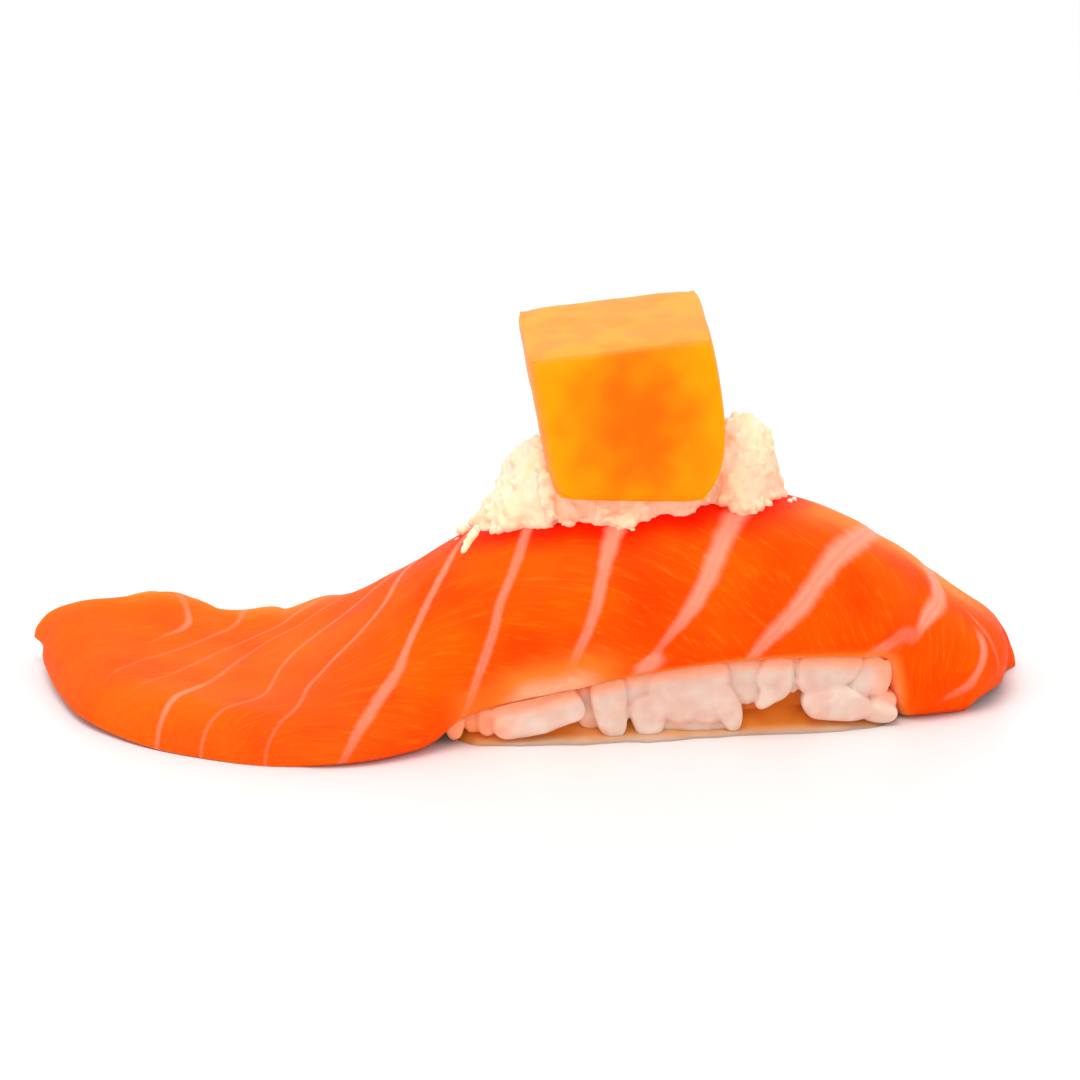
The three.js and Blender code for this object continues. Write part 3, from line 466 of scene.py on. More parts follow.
def both_sheets(values):
    """A grid's values for the corners that two_sheets makes of it: upper sheet, then inner lower sheet."""
    inner = values[1:-1, 1:-1]
    tail = values.shape[2:]
    return np.concatenate([values.reshape(-1, *tail), inner.reshape(-1, *tail)])


def ball(rings, sides):
    """A unit ball's corners, pole to pole along X, and its triangles: (-cos t, sin t cos a, sin t sin a)."""
    t = np.linspace(0, np.pi, rings + 2)[1:-1, None]
    a = np.linspace(0, 2 * np.pi, sides, endpoint=False)[None]
    skin = np.stack([-np.cos(t) + 0 * a, np.sin(t) * np.cos(a), np.sin(t) * np.sin(a)], -1).reshape(-1, 3)
    corners = np.concatenate([[[-1.0, 0, 0]], skin, [[1.0, 0, 0]]])
    ring = 1 + np.arange(rings * sides).reshape(rings, sides)
    beside = np.roll(ring, -1, axis=1)
    start, end = np.zeros(sides, int), np.full(sides, len(corners) - 1)
    faces = [np.stack([start, beside[0], ring[0]], -1), np.stack([end, ring[-1], beside[-1]], -1)]
    a, b, c, d = ring[:-1].ravel(), ring[1:].ravel(), beside[1:].ravel(), beside[:-1].ravel()
    faces += [np.stack([a, c, b], -1), np.stack([a, d, c], -1)]
    return corners, np.concatenate(faces)


def joined(shapes, faces):
    """Many copies of one set of faces, for an array of shapes (copies, corners, 3), as one mesh."""
    copies, corners = shapes.shape[:2]
    shift = np.arange(copies)[:, None, None] * corners
    return shapes.reshape(-1, 3), (faces[None] + shift).reshape(-1, 3)


def fused(points, faces, size, rounds):
    """One skin round lumps that run into each other, on a lattice of that size in mm, smoothed in rounds."""
    mesh = bpy.data.meshes.new("lumps")
    mesh.from_pydata(points.tolist(), [], faces.tolist())
    rough = bpy.data.objects.new("lumps", mesh)
    bpy.context.scene.collection.objects.link(rough)
    remesh = rough.modifiers.new("fuse", "REMESH")
    remesh.mode = "VOXEL"
    remesh.voxel_size = size
    remesh.adaptivity = 0.0
    settle = rough.modifiers.new("settle", "SMOOTH")
    settle.factor = 0.5
    settle.iterations = rounds
    whole = rough.evaluated_get(bpy.context.evaluated_depsgraph_get()).to_mesh()
    corners = np.empty(len(whole.vertices) * 3)
    whole.vertices.foreach_get("co", corners)
    normals = np.empty(len(whole.vertices) * 3)
    whole.vertices.foreach_get("normal", normals)
    whole.calc_loop_triangles()
    triangles = np.empty(len(whole.loop_triangles) * 3, np.int32)
    whole.loop_triangles.foreach_get("vertices", triangles)
    bpy.data.objects.remove(rough)
    bpy.data.meshes.remove(mesh)
    return corners.reshape(-1, 3), normals.reshape(-1, 3), triangles.reshape(-1, 3)


# ---- finishes ------------------------------------------------------------------------------------

# Display colours, from 0 to 255.
COLOURS = dict(
    # The darkest flesh red is a painted shade beside the cheese, and the palest flesh orange a painted
    # sheen.
    flesh=(252, 62, 0), flesh_bright=(254, 83, 0), flesh_pale=(255, 130, 46), flesh_deep=(250, 20, 0),
    streak_light=(255, 120, 12), streak_fine=(255, 132, 26), streak_dark=(252, 54, 0), fat=(255, 146, 118),
    flesh_thin=(255, 124, 40), flesh_rim=(252, 178, 142),
    # The pink rice colour is a painted bounce from the slice, and the orange one a painted warm shade.
    rice=(221, 182, 165), rice_light=(223, 199, 183), rice_tinged=(254, 152, 108), rice_deep=(254, 142, 46),
    # The low curd colour is a painted warm shade.
    curd=(250, 222, 198), curd_yellow=(250, 218, 172), curd_painted_shade=(251, 206, 170),
    # The fruit's two top colours are a painted sheen.
    fruit=(253, 108, 0), fruit_yellow=(254, 156, 0), fruit_painted_sheen=(250, 144, 62), fruit_painted_sheen_warm=(252, 154, 58),
)


def colour(name):
    """A named display colour as the linear colour that a shader takes."""
    c = np.array(COLOURS[name]) / 255
    linear = np.where(c <= 0.04045, c / 12.92, ((c + 0.055) / 1.055) ** 2.4)
    return (*linear, 1.0)


class Finish:
    """The nodes of one material. All but put and give add a node and give back its output."""

    def __init__(self, name, **surface):
        self.material = bpy.data.materials.new(name)
        self.material.use_nodes = True
        self.tree = self.material.node_tree
        self.shader = self.tree.nodes["Principled BSDF"]
        for socket, value in surface.items():
            self.put(self.shader.inputs[socket.replace("_", " ")], value)
        metres = self.add("ShaderNodeTexCoord").outputs["Object"]
        self.place = self.vector("SCALE", metres, scale=1 / MM)

    def put(self, socket, value):
        if isinstance(value, bpy.types.NodeSocket):
            self.tree.links.new(value, socket)
        elif value is not None:
            socket.default_value = value

    def add(self, kind, inputs=(), **settings):
        node = self.tree.nodes.new(kind)
        for key, value in settings.items():
            setattr(node, key, value)
        for key, value in dict(inputs).items():
            self.put(node.inputs[key], value)
        return node

    def maths(self, operation, a, b=None):
        return self.add("ShaderNodeMath", {0: a, 1: b}, operation=operation).outputs[0]

    def vector(self, operation, a, b=None, scale=None):
        node = self.add("ShaderNodeVectorMath", {0: a, 1: b}, operation=operation)
        if scale is not None:
            self.put(node.inputs["Scale"], scale)
        return node.outputs[0]

    def attribute(self, name, output="Fac"):
        return self.add("ShaderNodeAttribute", attribute_name=name).outputs[output]

    def noise(self, vector, size, detail=2.0, roughness=0.5):
        values = dict(Vector=vector, Scale=1 / size, Detail=detail, Roughness=roughness)
        return self.add("ShaderNodeTexNoise", values).outputs["Fac"]

    def step(self, value, low, high, to_low=0.0, to_high=1.0):
        values = {0: value, 1: low, 2: high, 3: to_low, 4: to_high}
        return self.add("ShaderNodeMapRange", values, interpolation_type="SMOOTHSTEP").outputs[0]

    def mix(self, share, a, b):
        node = self.add("ShaderNodeMix", data_type="RGBA")
        for socket, value in zip((node.inputs[0], node.inputs[6], node.inputs[7]), (share, a, b)):
            self.put(socket, value)
        return node.outputs[2]

    def bump(self, height, depth, normal=None):
        values = dict(Height=height, Distance=depth * MM, Strength=1.0, Normal=normal)
        return self.add("ShaderNodeBump", values).outputs[0]

    def give(self, base, normal):
        """Puts the colour and the relief into the shader, and gives back the material."""
        self.put(self.shader.inputs["Base Color"], base)
        self.put(self.shader.inputs["Normal"], normal)
        return self.material


def salmon_finish():
    """Orange flesh streaked along its fibres, soft-edged pink fat lines, a lighter rim where it is thin, a
    painted sheen on the tail and head and a painted shade beside the cheese.
    """
    f = Finish(
        "salmon_flesh", Roughness=0.45, IOR=1.1, Specular_IOR_Level=0.3, Subsurface_Weight=0.35,
        Subsurface_Radius=(1.0, 0.24, 0.05), Subsurface_Scale=1.6 * MM,
    )
    fibre = f.attribute("fibre", "Vector")
    streaks = f.noise(f.vector("MULTIPLY", fibre, (0.10, 1.0, 1.0)), 0.55, detail=3, roughness=0.6)
    fine = f.noise(f.vector("MULTIPLY", fibre, (0.05, 1.0, 1.0)), 0.22)
    clouds = f.noise(f.place, 9.0)
    flesh = f.mix(f.step(clouds, 0.3, 0.7), colour("flesh"), colour("flesh_bright"))
    # Painted sheen: the tail's far part and the head's slope turn a paler orange.
    flesh = f.mix(f.attribute("pale"), flesh, colour("flesh_pale"))
    flesh = f.mix(f.step(streaks, 0.5, 0.78, to_high=0.4), flesh, colour("streak_light"))
    flesh = f.mix(f.step(fine, 0.55, 0.8, to_high=0.22), flesh, colour("streak_fine"))
    flesh = f.mix(f.step(streaks, 0.42, 0.22, to_high=0.3), flesh, colour("streak_dark"))
    # Painted shade: deeper red flesh right beside the cheese.
    flesh = f.mix(f.attribute("deep"), flesh, colour("flesh_deep"))

    # Distance to the nearest fat line, from the share of the way from one line to the next.
    share = f.maths("FRACT", f.attribute("phase"))
    to_line = f.maths("MINIMUM", share, f.maths("SUBTRACT", 1.0, share))
    nearest = f.maths("MULTIPLY", to_line, f.attribute("gap"))
    half = f.attribute("half")
    ragged = f.noise(f.vector("MULTIPLY", fibre, (0.35, 1.0, 1.0)), 1.1, detail=3, roughness=0.55)
    wobble = f.maths("MULTIPLY", f.maths("SUBTRACT", ragged, 0.5), f.maths("MULTIPLY", half, 0.9))
    ratio = f.maths("DIVIDE", f.maths("ADD", nearest, wobble), f.maths("ADD", half, 0.06))
    fat = f.maths("MULTIPLY", f.step(ratio, 0.3, 1.7, to_low=1, to_high=0), f.step(half, 0.03, 0.3))
    fat = f.maths("MULTIPLY", fat, f.step(half, 0.12, 0.6, to_low=0.38, to_high=0.95))
    flesh = f.mix(fat, flesh, colour("fat"))

    # Where the slice thins out it turns a lighter orange first, and then as pale as the rice under it.
    thin = f.maths("MULTIPLY", f.attribute("thin"), f.step(streaks, 0.2, 0.8, to_low=0.85))
    flesh = f.mix(f.step(thin, 0.0, 0.55, to_high=0.9), flesh, colour("flesh_thin"))
    flesh = f.mix(f.step(thin, 0.45, 1.0), flesh, colour("flesh_rim"))
    height = f.maths("ADD", f.maths("MULTIPLY", streaks, 0.5), f.maths("MULTIPLY", fat, 0.25))
    return f.give(flesh, f.bump(fine, 0.02, f.bump(height, 0.08)))


def rice_finish():
    """Milky, slightly translucent boiled rice, with a painted orange bounce from the slice and a much warmer
    painted shade in the heap's recesses.
    """
    f = Finish(
        "rice_grains", Roughness=0.4, IOR=1.25, Subsurface_Weight=0.7,
        Subsurface_Radius=(1.0, 0.6, 0.4), Subsurface_Scale=2.0 * MM,
    )
    cloudy = f.noise(f.place, 2.6)
    tone = f.mix(f.step(cloudy, 0.32, 0.68), colour("rice"), colour("rice_light"))
    # Painted bounce: orange light from the slice, mixed in as pink.
    tone = f.mix(f.attribute("tinged"), tone, colour("rice_tinged"))
    # Painted shade: warmer orange in the recesses, at the foot and behind the front.
    tone = f.mix(f.attribute("deep"), tone, colour("rice_deep"))
    return f.give(tone, f.bump(f.noise(f.place, 1.3), 0.12))


def cheese_finish():
    """Cream-white crumbly curd, yellower in patches, with a painted warm shade close over the slice and at
    its right end, and matt.
    """
    f = Finish(
        "soft_cheese", Roughness=0.62, IOR=1.2, Subsurface_Weight=0.35,
        Subsurface_Radius=(1.0, 0.75, 0.5), Subsurface_Scale=1.2 * MM,
    )
    patches = f.noise(f.place, 2.8, roughness=0.55)
    curd = f.mix(f.step(patches, 0.32, 0.7), colour("curd"), colour("curd_yellow"))
    # Painted shade: warmer curd low over the slice and at the right end.
    curd = f.mix(f.attribute("low"), curd, colour("curd_painted_shade"))
    return f.give(curd, f.bump(f.noise(f.place, 0.6, detail=3), 0.07))


def mango_finish():
    """Moist fruit, strong orange in the middle of its front, yellow at its edges, and paler on top and left,
    which is a painted sheen.
    """
    f = Finish(
        "mango_flesh", Roughness=0.4, IOR=1.14, Subsurface_Weight=0.4,
        Subsurface_Radius=(1.0, 0.4, 0.05), Subsurface_Scale=2.0 * MM,
    )
    broad = f.noise(f.place, 5.5, detail=1)
    mottle = f.noise(f.place, 2.8, roughness=0.4)
    wander = f.maths("ADD", f.maths("MULTIPLY", broad, 0.5), f.maths("MULTIPLY", mottle, 0.55))
    spread = f.maths("ADD", f.attribute("edge"), f.maths("SUBTRACT", wander, 0.5))
    fruit = f.mix(f.step(spread, 0.1, 1.0), colour("fruit"), colour("fruit_yellow"))
    # Painted sheen: a paler clouded orange over the top and left faces.
    clouds = f.maths("ADD", broad, f.maths("SUBTRACT", mottle, 0.5))
    top = f.mix(f.step(clouds, 0.3, 0.7), colour("fruit_painted_sheen"), colour("fruit_painted_sheen_warm"))
    fruit = f.mix(f.attribute("pale"), fruit, top)
    return f.give(fruit, f.bump(f.noise(f.place, 0.9, detail=3), 0.05))


# ---- the slice -----------------------------------------------------------------------------------


def arch(x, near):
    """The section of the underside at a place: half width and rim height on that side, and the rise."""
    half_width = np.where(near, through(NEAR_HALF_WIDTH, x), through(FAR_HALF_WIDTH, x))
    rim = np.where(near, through(NEAR_RIM_HEIGHT, x), through(FAR_RIM_HEIGHT, x))
    return half_width, rim, through(CROWN_HEIGHT, x) - rim


def underside(x, across):
    """The draped underside: an arch, y = half width * sin^0.92 and z = rim + rise * cos^0.92."""
    half_width, rim, rise = arch(x, across < 0)
    angle = across * np.pi / 2
    y = half_width * np.sign(across) * np.abs(np.sin(angle)) ** FULLNESS
    return y, rim + rise * np.abs(np.cos(angle)) ** FULLNESS


def height_under(x, y):
    """Height of the underside over a place: the arch solved for z, and far above it beyond the rims."""
    half_width, rim, rise = arch(x, y < 0)
    sine = np.clip(np.abs(y) / half_width, 0, 1) ** (1 / FULLNESS)
    return np.where(np.abs(y) < half_width, rim + rise * np.sqrt(1 - sine ** 2) ** FULLNESS, FAR_ABOVE)


def height_over(x, y):
    """Height of the slice's top over a place: the top of the highest ball, as big as the slice is thick,
    that rolls on the underside: max over (dx, dy) of under(x + dx, y + dy) + sqrt(T^2 - dx^2 - dy^2)."""
    under = height_under(x, y)
    highest = np.where(under < FAR_ABOVE, under + SLICE_THICKNESS, -FAR_ABOVE)
    for share in ROLLED_SHARES:
        reach = share * SLICE_THICKNESS
        for turn in np.linspace(0, 2 * np.pi, ROLLED_TURNS, endpoint=False):
            under = height_under(x + reach * np.cos(turn), y + reach * np.sin(turn))
            rolled = under + SLICE_THICKNESS * np.sqrt(1 - share ** 2)
            highest = np.maximum(highest, np.where(under < FAR_ABOVE, rolled, -FAR_ABOVE))
    return highest


def round_edge(distance, radius):
    """A round edge's share of the full thickness: a quarter circle of that radius."""
    return np.sqrt(1 - (1 - np.clip(distance / radius, 0, 1)) ** 2)


def crown_length(x):
    """Length over the crown from the tail to a place, by adding up steps of a twentieth of a millimetre."""
    fine = np.linspace(-56, 56, 2241)
    return np.interp(x, fine, way_along(np.stack([fine, through(CROWN_HEIGHT, fine)], -1)))


def slice_surface():
    """The underside as a grid, its normals and thickness, and the slice's own coordinates: length along it,
    width across it from the crown, and distances from its four edges. Steps lie closer towards the edges."""
    rows, columns = SLICE_STEPS
    t = np.linspace(0, 1, rows + 1)
    s = np.linspace(-1, 1, columns + 1)
    along = 0.5 * t + 0.25 * (1 - np.cos(np.pi * t))
    across = s + 0.6 * np.sin(np.pi * s) / np.pi
    V, U = np.meshgrid(across, along)
    x = through(TAIL_END, V) * (1 - U) + through(HEAD_END, V) * U
    y, z = underside(x, V)
    under = soften(np.stack([x, y, z], -1), SLICE_SOFTENING["shape"])
    normals = unit(np.cross(np.gradient(under, axis=0), np.gradient(under, axis=1)))
    normals = unit(soften(normals, SLICE_SOFTENING["normals"]))

    step_across = np.linalg.norm(np.diff(under, axis=1), axis=-1)
    step_along = np.linalg.norm(np.diff(under, axis=0), axis=-1)
    from_near = np.concatenate([np.zeros((rows + 1, 1)), np.cumsum(step_across, 1)], 1)
    from_tail = np.concatenate([np.zeros((1, columns + 1)), np.cumsum(step_along, 0)], 0)
    to_far = from_near[:, -1:] - from_near
    to_head = from_tail[-1:] - from_tail
    width = from_near - from_near[:, columns // 2][:, None]

    towards_edge = fade(0, TAPER_REACH, np.minimum(from_near, to_far))
    thickness = SLICE_THICKNESS + (through(EDGE_THICKNESS, x) - SLICE_THICKNESS) * towards_edge
    thickness = thickness * round_edge(from_near, through(NEAR_ROUND, x)) * round_edge(to_far, FAR_ROUND)
    thickness = thickness * round_edge(from_tail, through(TAIL_ROUND, V))
    thickness = thickness * round_edge(to_head, through(HEAD_ROUND, V))
    return dict(
        under=under, normals=normals, thickness=thickness, x=x, across=V, length=crown_length(x),
        width=width, near=from_near, far=to_far, tail=from_tail, head=to_head,
    )


def fat_lines(s):
    """Phase, spacing and half width: phase counts the lines passed, plus the share of the way to the next
    one, which stays at a half wherever both lines are further off than half of LINE_REACH."""
    signed, halves = [], []
    for line in FAT_LINES:
        at = soften(crown_length(through(line["at"], s["across"])), FAT_SMOOTHING, axes=(1,))
        slope = np.gradient(at, axis=1) / np.maximum(np.gradient(s["width"], axis=1), 1e-6)
        signed.append((s["length"] - at) / np.sqrt(1 + slope ** 2))
        halves.append(through(line["half"], s["across"]))
    passed = (np.array(signed) > 0).sum(axis=0)
    beyond = np.full(passed.shape, PAST_LINES)
    distances = np.array([beyond, *signed, -beyond])
    widths = np.array([halves[0], *halves, halves[-1]])
    last, following = passed[None], passed[None] + 1
    behind, ahead = (np.abs(np.take_along_axis(distances, k, 0)[0]) for k in (last, following))
    half = np.take_along_axis(widths, np.where(behind < ahead, last, following), 0)[0]
    gap = np.minimum(behind + ahead, LINE_REACH)
    share = np.where(behind < ahead, np.minimum(behind / gap, 0.5), np.maximum(1 - ahead / gap, 0.5))
    return passed + share, gap, half


def salmon_tones(s, top):
    """How thin the flesh looks, and where it gets a painted sheen and a painted shade, from 0 to 1, by steps
    along the slice and in from its edges: thin where it starts up the rice and along its near rim, a painted
    sheen along the tail's far edge and behind the head's crown, and a painted shade beside the cheese."""
    x, from_near, to_far = s["x"], s["near"], s["far"]
    t = SALMON_TONE["over_rice"]
    over_rice = smooth_step(*t["start"], x) * fade(*t["end"], x)
    fullness = t["least"] + (1 - t["least"]) * smooth_step(*t["full"], x)
    over_rice = over_rice * fullness * fade(*t["reach"], from_near)
    t = SALMON_TONE["near_rim"]
    near_rim = t["most"] * smooth_step(*t["start"], x) * fade(*t["end"], x) * fade(*t["reach"], from_near)
    # Painted sheen along the tail's far edge and behind the head's crown.
    t = SALMON_TONE["tail"]
    tail = (t["least"] + (t["most"] - t["least"]) * fade(*t["reach"], to_far)) * fade(*t["end"], x)
    t = SALMON_TONE["head"]
    head = t["most"] * smooth_step(*t["start"], x) * fade(*t["end"], x) * smooth_step(*t["reach"], from_near)
    # Painted shade beside the cheese.
    t = SALMON_TONE["cheese"]
    painted_shade_by_cheese = t["most"] * fade(*t["reach"], -edge_distance(top[..., 0], top[..., 1]))
    return dict(thin=np.maximum(over_rice, near_rim), pale=tail + head, deep=painted_shade_by_cheese)


def make_salmon():
    """The slice: upper sheet = underside + normal * thickness, fat lines sunk a little between bulges."""
    s = slice_surface()
    phase, gap, half = fat_lines(s)
    share = phase % 1
    nearest = np.minimum(share, 1 - share) * gap
    skin = FLESH_SKIN
    bulge = smooth_step(0, skin["bulge_reach"], nearest) - skin["line_sunk"]
    bulge = skin["bulge"] * bulge * smooth_step(*skin["line_widths"], half)
    uneven = skin["uneven"] * relief(s["under"], skin["uneven_size"], 3, 2)
    inner = np.minimum.reduce([s[edge] for edge in ("near", "far", "tail", "head")])
    rise = s["thickness"] + (bulge + uneven) * smooth_step(0, skin["from_edge"], inner)
    upper = s["under"] + s["normals"] * rise[..., None]
    points, faces = two_sheets(upper, s["under"])
    points[:, 2] = np.maximum(points[:, 2], CLEAR_OF_TABLE)

    # The fibres' own coordinates: along them and over them, turned between each two fat lines, and depth.
    turns = np.radians(FIBRE_TURNS)[np.clip(np.floor(phase).astype(int), 0, len(FIBRE_TURNS) - 1)]
    along = s["length"] * np.cos(turns) - s["width"] * np.sin(turns)
    over = s["length"] * np.sin(turns) + s["width"] * np.cos(turns)
    fibre = both_sheets(np.stack([along, over, SLICE_THICKNESS - s["thickness"]], -1))
    fibre[phase.size:, 2] += UNDERSIDE_DEPTH

    values = dict(phase=phase, gap=gap, half=half, **salmon_tones(s, upper))
    values = {name: both_sheets(grid) for name, grid in values.items()}
    make_piece("salmon", points, faces, salmon_finish(), "salmon_slice", "salmon", fibre=fibre, **values)


# ---- the rice ------------------------------------------------------------------------------------


def loaf_wall(angle, height, inset=0.0):
    """A point of the loaf's wall: |x/a|^n + |y/b|^n + |z/c|^n = 1, solved at a height and an angle."""
    n = LOAF["squareness"]
    shrink = (1 - (height / LOAF["height"]) ** n) ** (1 / n)
    c, s = np.cos(angle), np.sin(angle)
    size = (np.abs(c) ** n + np.abs(s) ** n) ** (1 / n)
    x = LOAF["middle"] + (LOAF["half_length"] - inset) * shrink * c / size
    return x, (LOAF["half_width"] - inset) * shrink * s / size


def rice_depth(points):
    """How far into the heap a place lies, as its share of painted warm shade: 0 just before the loaf's wall,
    and 1 a little behind it.
    """
    n = LOAF["squareness"]
    half = np.array([LOAF["half_length"], LOAF["half_width"], LOAF["height"]])
    out = (np.abs((points - np.array([LOAF["middle"], 0, 0])) / half) ** n).sum(-1) ** (1 / n)
    return smooth_step(*RICE_TONE["behind_wall"], (1 - out) * LOAF["half_width"])


def grain_shapes(centres, directions, outwards, lengths, thicknesses, seed):
    """Bent, blunt grains: girth (1 - |a|^2.6)^0.5 along the axis a, fuller at one end, bent by a^2."""
    rng = np.random.default_rng(seed)
    count = len(centres)
    corners, faces = ball(*GRAIN["steps"])
    a = corners[None, :, 0]
    blunt = np.sqrt(np.maximum(1 - np.abs(a) ** GRAIN["bluntness"], 0))
    girth = np.where(np.abs(a) > 0.9999, 0, blunt / np.maximum(np.sqrt(1 - a * a), 1e-6))
    fuller = 1 + rng.uniform(-GRAIN["fuller"], GRAIN["fuller"], (count, 1)) * a
    bend = rng.uniform(-GRAIN["bend"], GRAIN["bend"], (count, 1)) * lengths[:, None] * (a * a - 0.4)
    flat = rng.uniform(*GRAIN["flat"], (count, 1))
    radius = girth * fuller * thicknesses[:, None] / 2
    along = a * lengths[:, None] / 2
    beside = corners[None, :, 1] * radius + bend
    out = corners[None, :, 2] * radius * flat
    d = unit(directions)
    o = unit(outwards - (outwards * d).sum(-1, keepdims=True) * d)
    b = np.cross(o, d)
    middles = centres[:, None]
    shapes = along[..., None] * d[:, None] + beside[..., None] * b[:, None] + out[..., None] * o[:, None]
    swell = 1 + GRAIN["uneven"] * relief(middles + shapes, GRAIN["uneven_size"], seed + 1)
    return middles + shapes * swell[..., None], faces


def rounded_outline(corners, count):
    """A closed outline through corners, each side cut to its quarter points three times, at even steps."""
    ring = np.array(corners, float)
    for _ in range(3):
        following = np.roll(ring, -1, axis=0)
        ring = np.stack([0.75 * ring + 0.25 * following, 0.25 * ring + 0.75 * following], 1).reshape(-1, 2)
    closed, way = closed_ring(ring)
    return on_ring(closed, way, np.linspace(0, way[-1], count, endpoint=False))


def outlined_grains(grains):
    """Blunt grains from outlines: at a share t of the way out from its middle, a grain stands before its
    outline by front * (1 - t^b)^(1/b), and behind it by back * (1 - t^b)^(1/b)."""
    rings, sides = FRONT_GRAIN["steps"]
    outlines = np.array([rounded_outline(grain["outline"], sides) for grain in grains])
    stand = np.array([grain["stand"] for grain in grains])
    corners, faces = ball(rings, sides)
    t = np.sqrt(np.clip(1 - corners[:, 0] ** 2, 0, 1))
    which = np.round(np.arctan2(corners[:, 2], corners[:, 1]) / (2 * np.pi) * sides).astype(int) % sides
    middle = outlines.mean(axis=1, keepdims=True)
    flat = middle + (outlines[:, which] - middle) * t[None, :, None]
    b = FRONT_GRAIN["bluntness"]
    out = (1 - t ** b) ** (1 / b) * np.where(corners[:, 0] < 0, -FRONT_GRAIN["front"], FRONT_GRAIN["back"])
    y = out[None] - LOAF["half_width"] - stand[:, None]
    shapes = np.stack([flat[..., 0], y, flat[..., 1]], -1)
    uneven = FRONT_GRAIN["uneven"] * relief(shapes, FRONT_GRAIN["uneven_size"], 23, 2)
    return shapes + uneven[..., None] * np.array(FRONT_GRAIN["uneven_ways"]), faces


def pressed(points):
    """Grains lie on the table and under the slice: heights are eased up to the one, and cut off at the other
    or, where they stand out before it, just above its rim. Past HEAD_CORNER they run on into the slice."""
    ease = PRESSED["ease"]
    x, y, z = np.moveaxis(points, -1, 0)
    z = np.where(z < ease, ease * np.exp((np.maximum(z, -6) - ease) / ease), z)
    x_held = np.where(y < 0, np.minimum(x, HEAD_CORNER), x)
    under = height_under(x_held, y)
    _, rim, _ = arch(x_held, y < 0)
    z = np.minimum(z, np.where(under < FAR_ABOVE, under - PRESSED["under_slice"], rim + PRESSED["past_rim"]))
    return np.stack([x, y, np.maximum(z, CLEAR_OF_TABLE)], -1)


def wall_grains(rng):
    """Rows of grains round the wall, outside and just behind it, each turned and tipped its own way. Behind
    the front grains only the inner rows go on, as BEHIND_FRONT says."""
    centres, directions, outwards = [], [], []
    round_wall = np.linspace(0, 2 * np.pi, 721)
    vary, front = WALL_VARIES, BEHIND_FRONT
    for height, inset, spacing, start in WALL_ROWS:
        way = way_along(np.stack(loaf_wall(round_wall, height, inset), -1))
        at = np.interp(np.arange(start, way[-1] - 1, spacing), way, round_wall)
        at = at + rng.uniform(-vary["angle"], vary["angle"], len(at))
        x, y = loaf_wall(at, height, inset)
        ahead_x, ahead_y = loaf_wall(at + 0.01, height, inset)
        side = unit(np.stack([ahead_x - x, ahead_y - y, 0 * x], -1))
        out = np.stack([side[:, 1], -side[:, 0], 0 * x], -1)
        tip = rng.uniform(-vary["tip"], vary["tip"], (len(at), 1))
        turn = rng.uniform(-vary["turn"], vary["turn"], (len(at), 1))
        stand = rng.uniform(*vary["stand"], (len(at), 1))
        lift = rng.uniform(*vary["lift"], len(at))
        centre = np.stack([x, y, height + lift], -1) + out * stand
        goes_on = (inset > front["inner"]) & ((height > front["low"]) | (centre[:, 0] < front["x"]))
        keep = (centre[:, 1] > front["wall"]) | goes_on
        direction = side * np.cos(tip) + out * turn + np.array([0, 0, 1.0]) * np.sin(tip)
        centres.append(centre[keep])
        directions.append(direction[keep])
        outwards.append(out[keep])
    return np.concatenate(centres), np.concatenate(directions), np.concatenate(outwards)


def foot_grains(rng):
    """Grains lying flat over the loaf's foot, on a jittered grid inside its outline."""
    x, y = np.meshgrid(np.arange(*FOOT["along"]), np.arange(*FOOT["across"]))
    x_shift, y_shift = FOOT["shift"]
    x = x.ravel() + rng.uniform(-x_shift, x_shift, x.size)
    y = y.ravel() + rng.uniform(-y_shift, y_shift, y.size)
    n = LOAF["squareness"]
    reach = np.abs((x - LOAF["middle"]) / LOAF["half_length"]) ** n + np.abs(y / LOAF["half_width"]) ** n
    keep = (reach < FOOT["inside"]) & ((y > BEHIND_FRONT["foot"]) | (x < BEHIND_FRONT["x"]))
    x, y = x[keep], y[keep]
    turn = rng.uniform(0, np.pi, len(x))
    centres = np.stack([x, y, rng.uniform(*FOOT["heights"], len(x))], -1)
    tip = rng.uniform(-FOOT["tip"], FOOT["tip"], len(x))
    directions = np.stack([np.cos(turn), np.sin(turn), tip], -1)
    return centres, directions, np.tile([0.0, 0, -1], (len(x), 1))


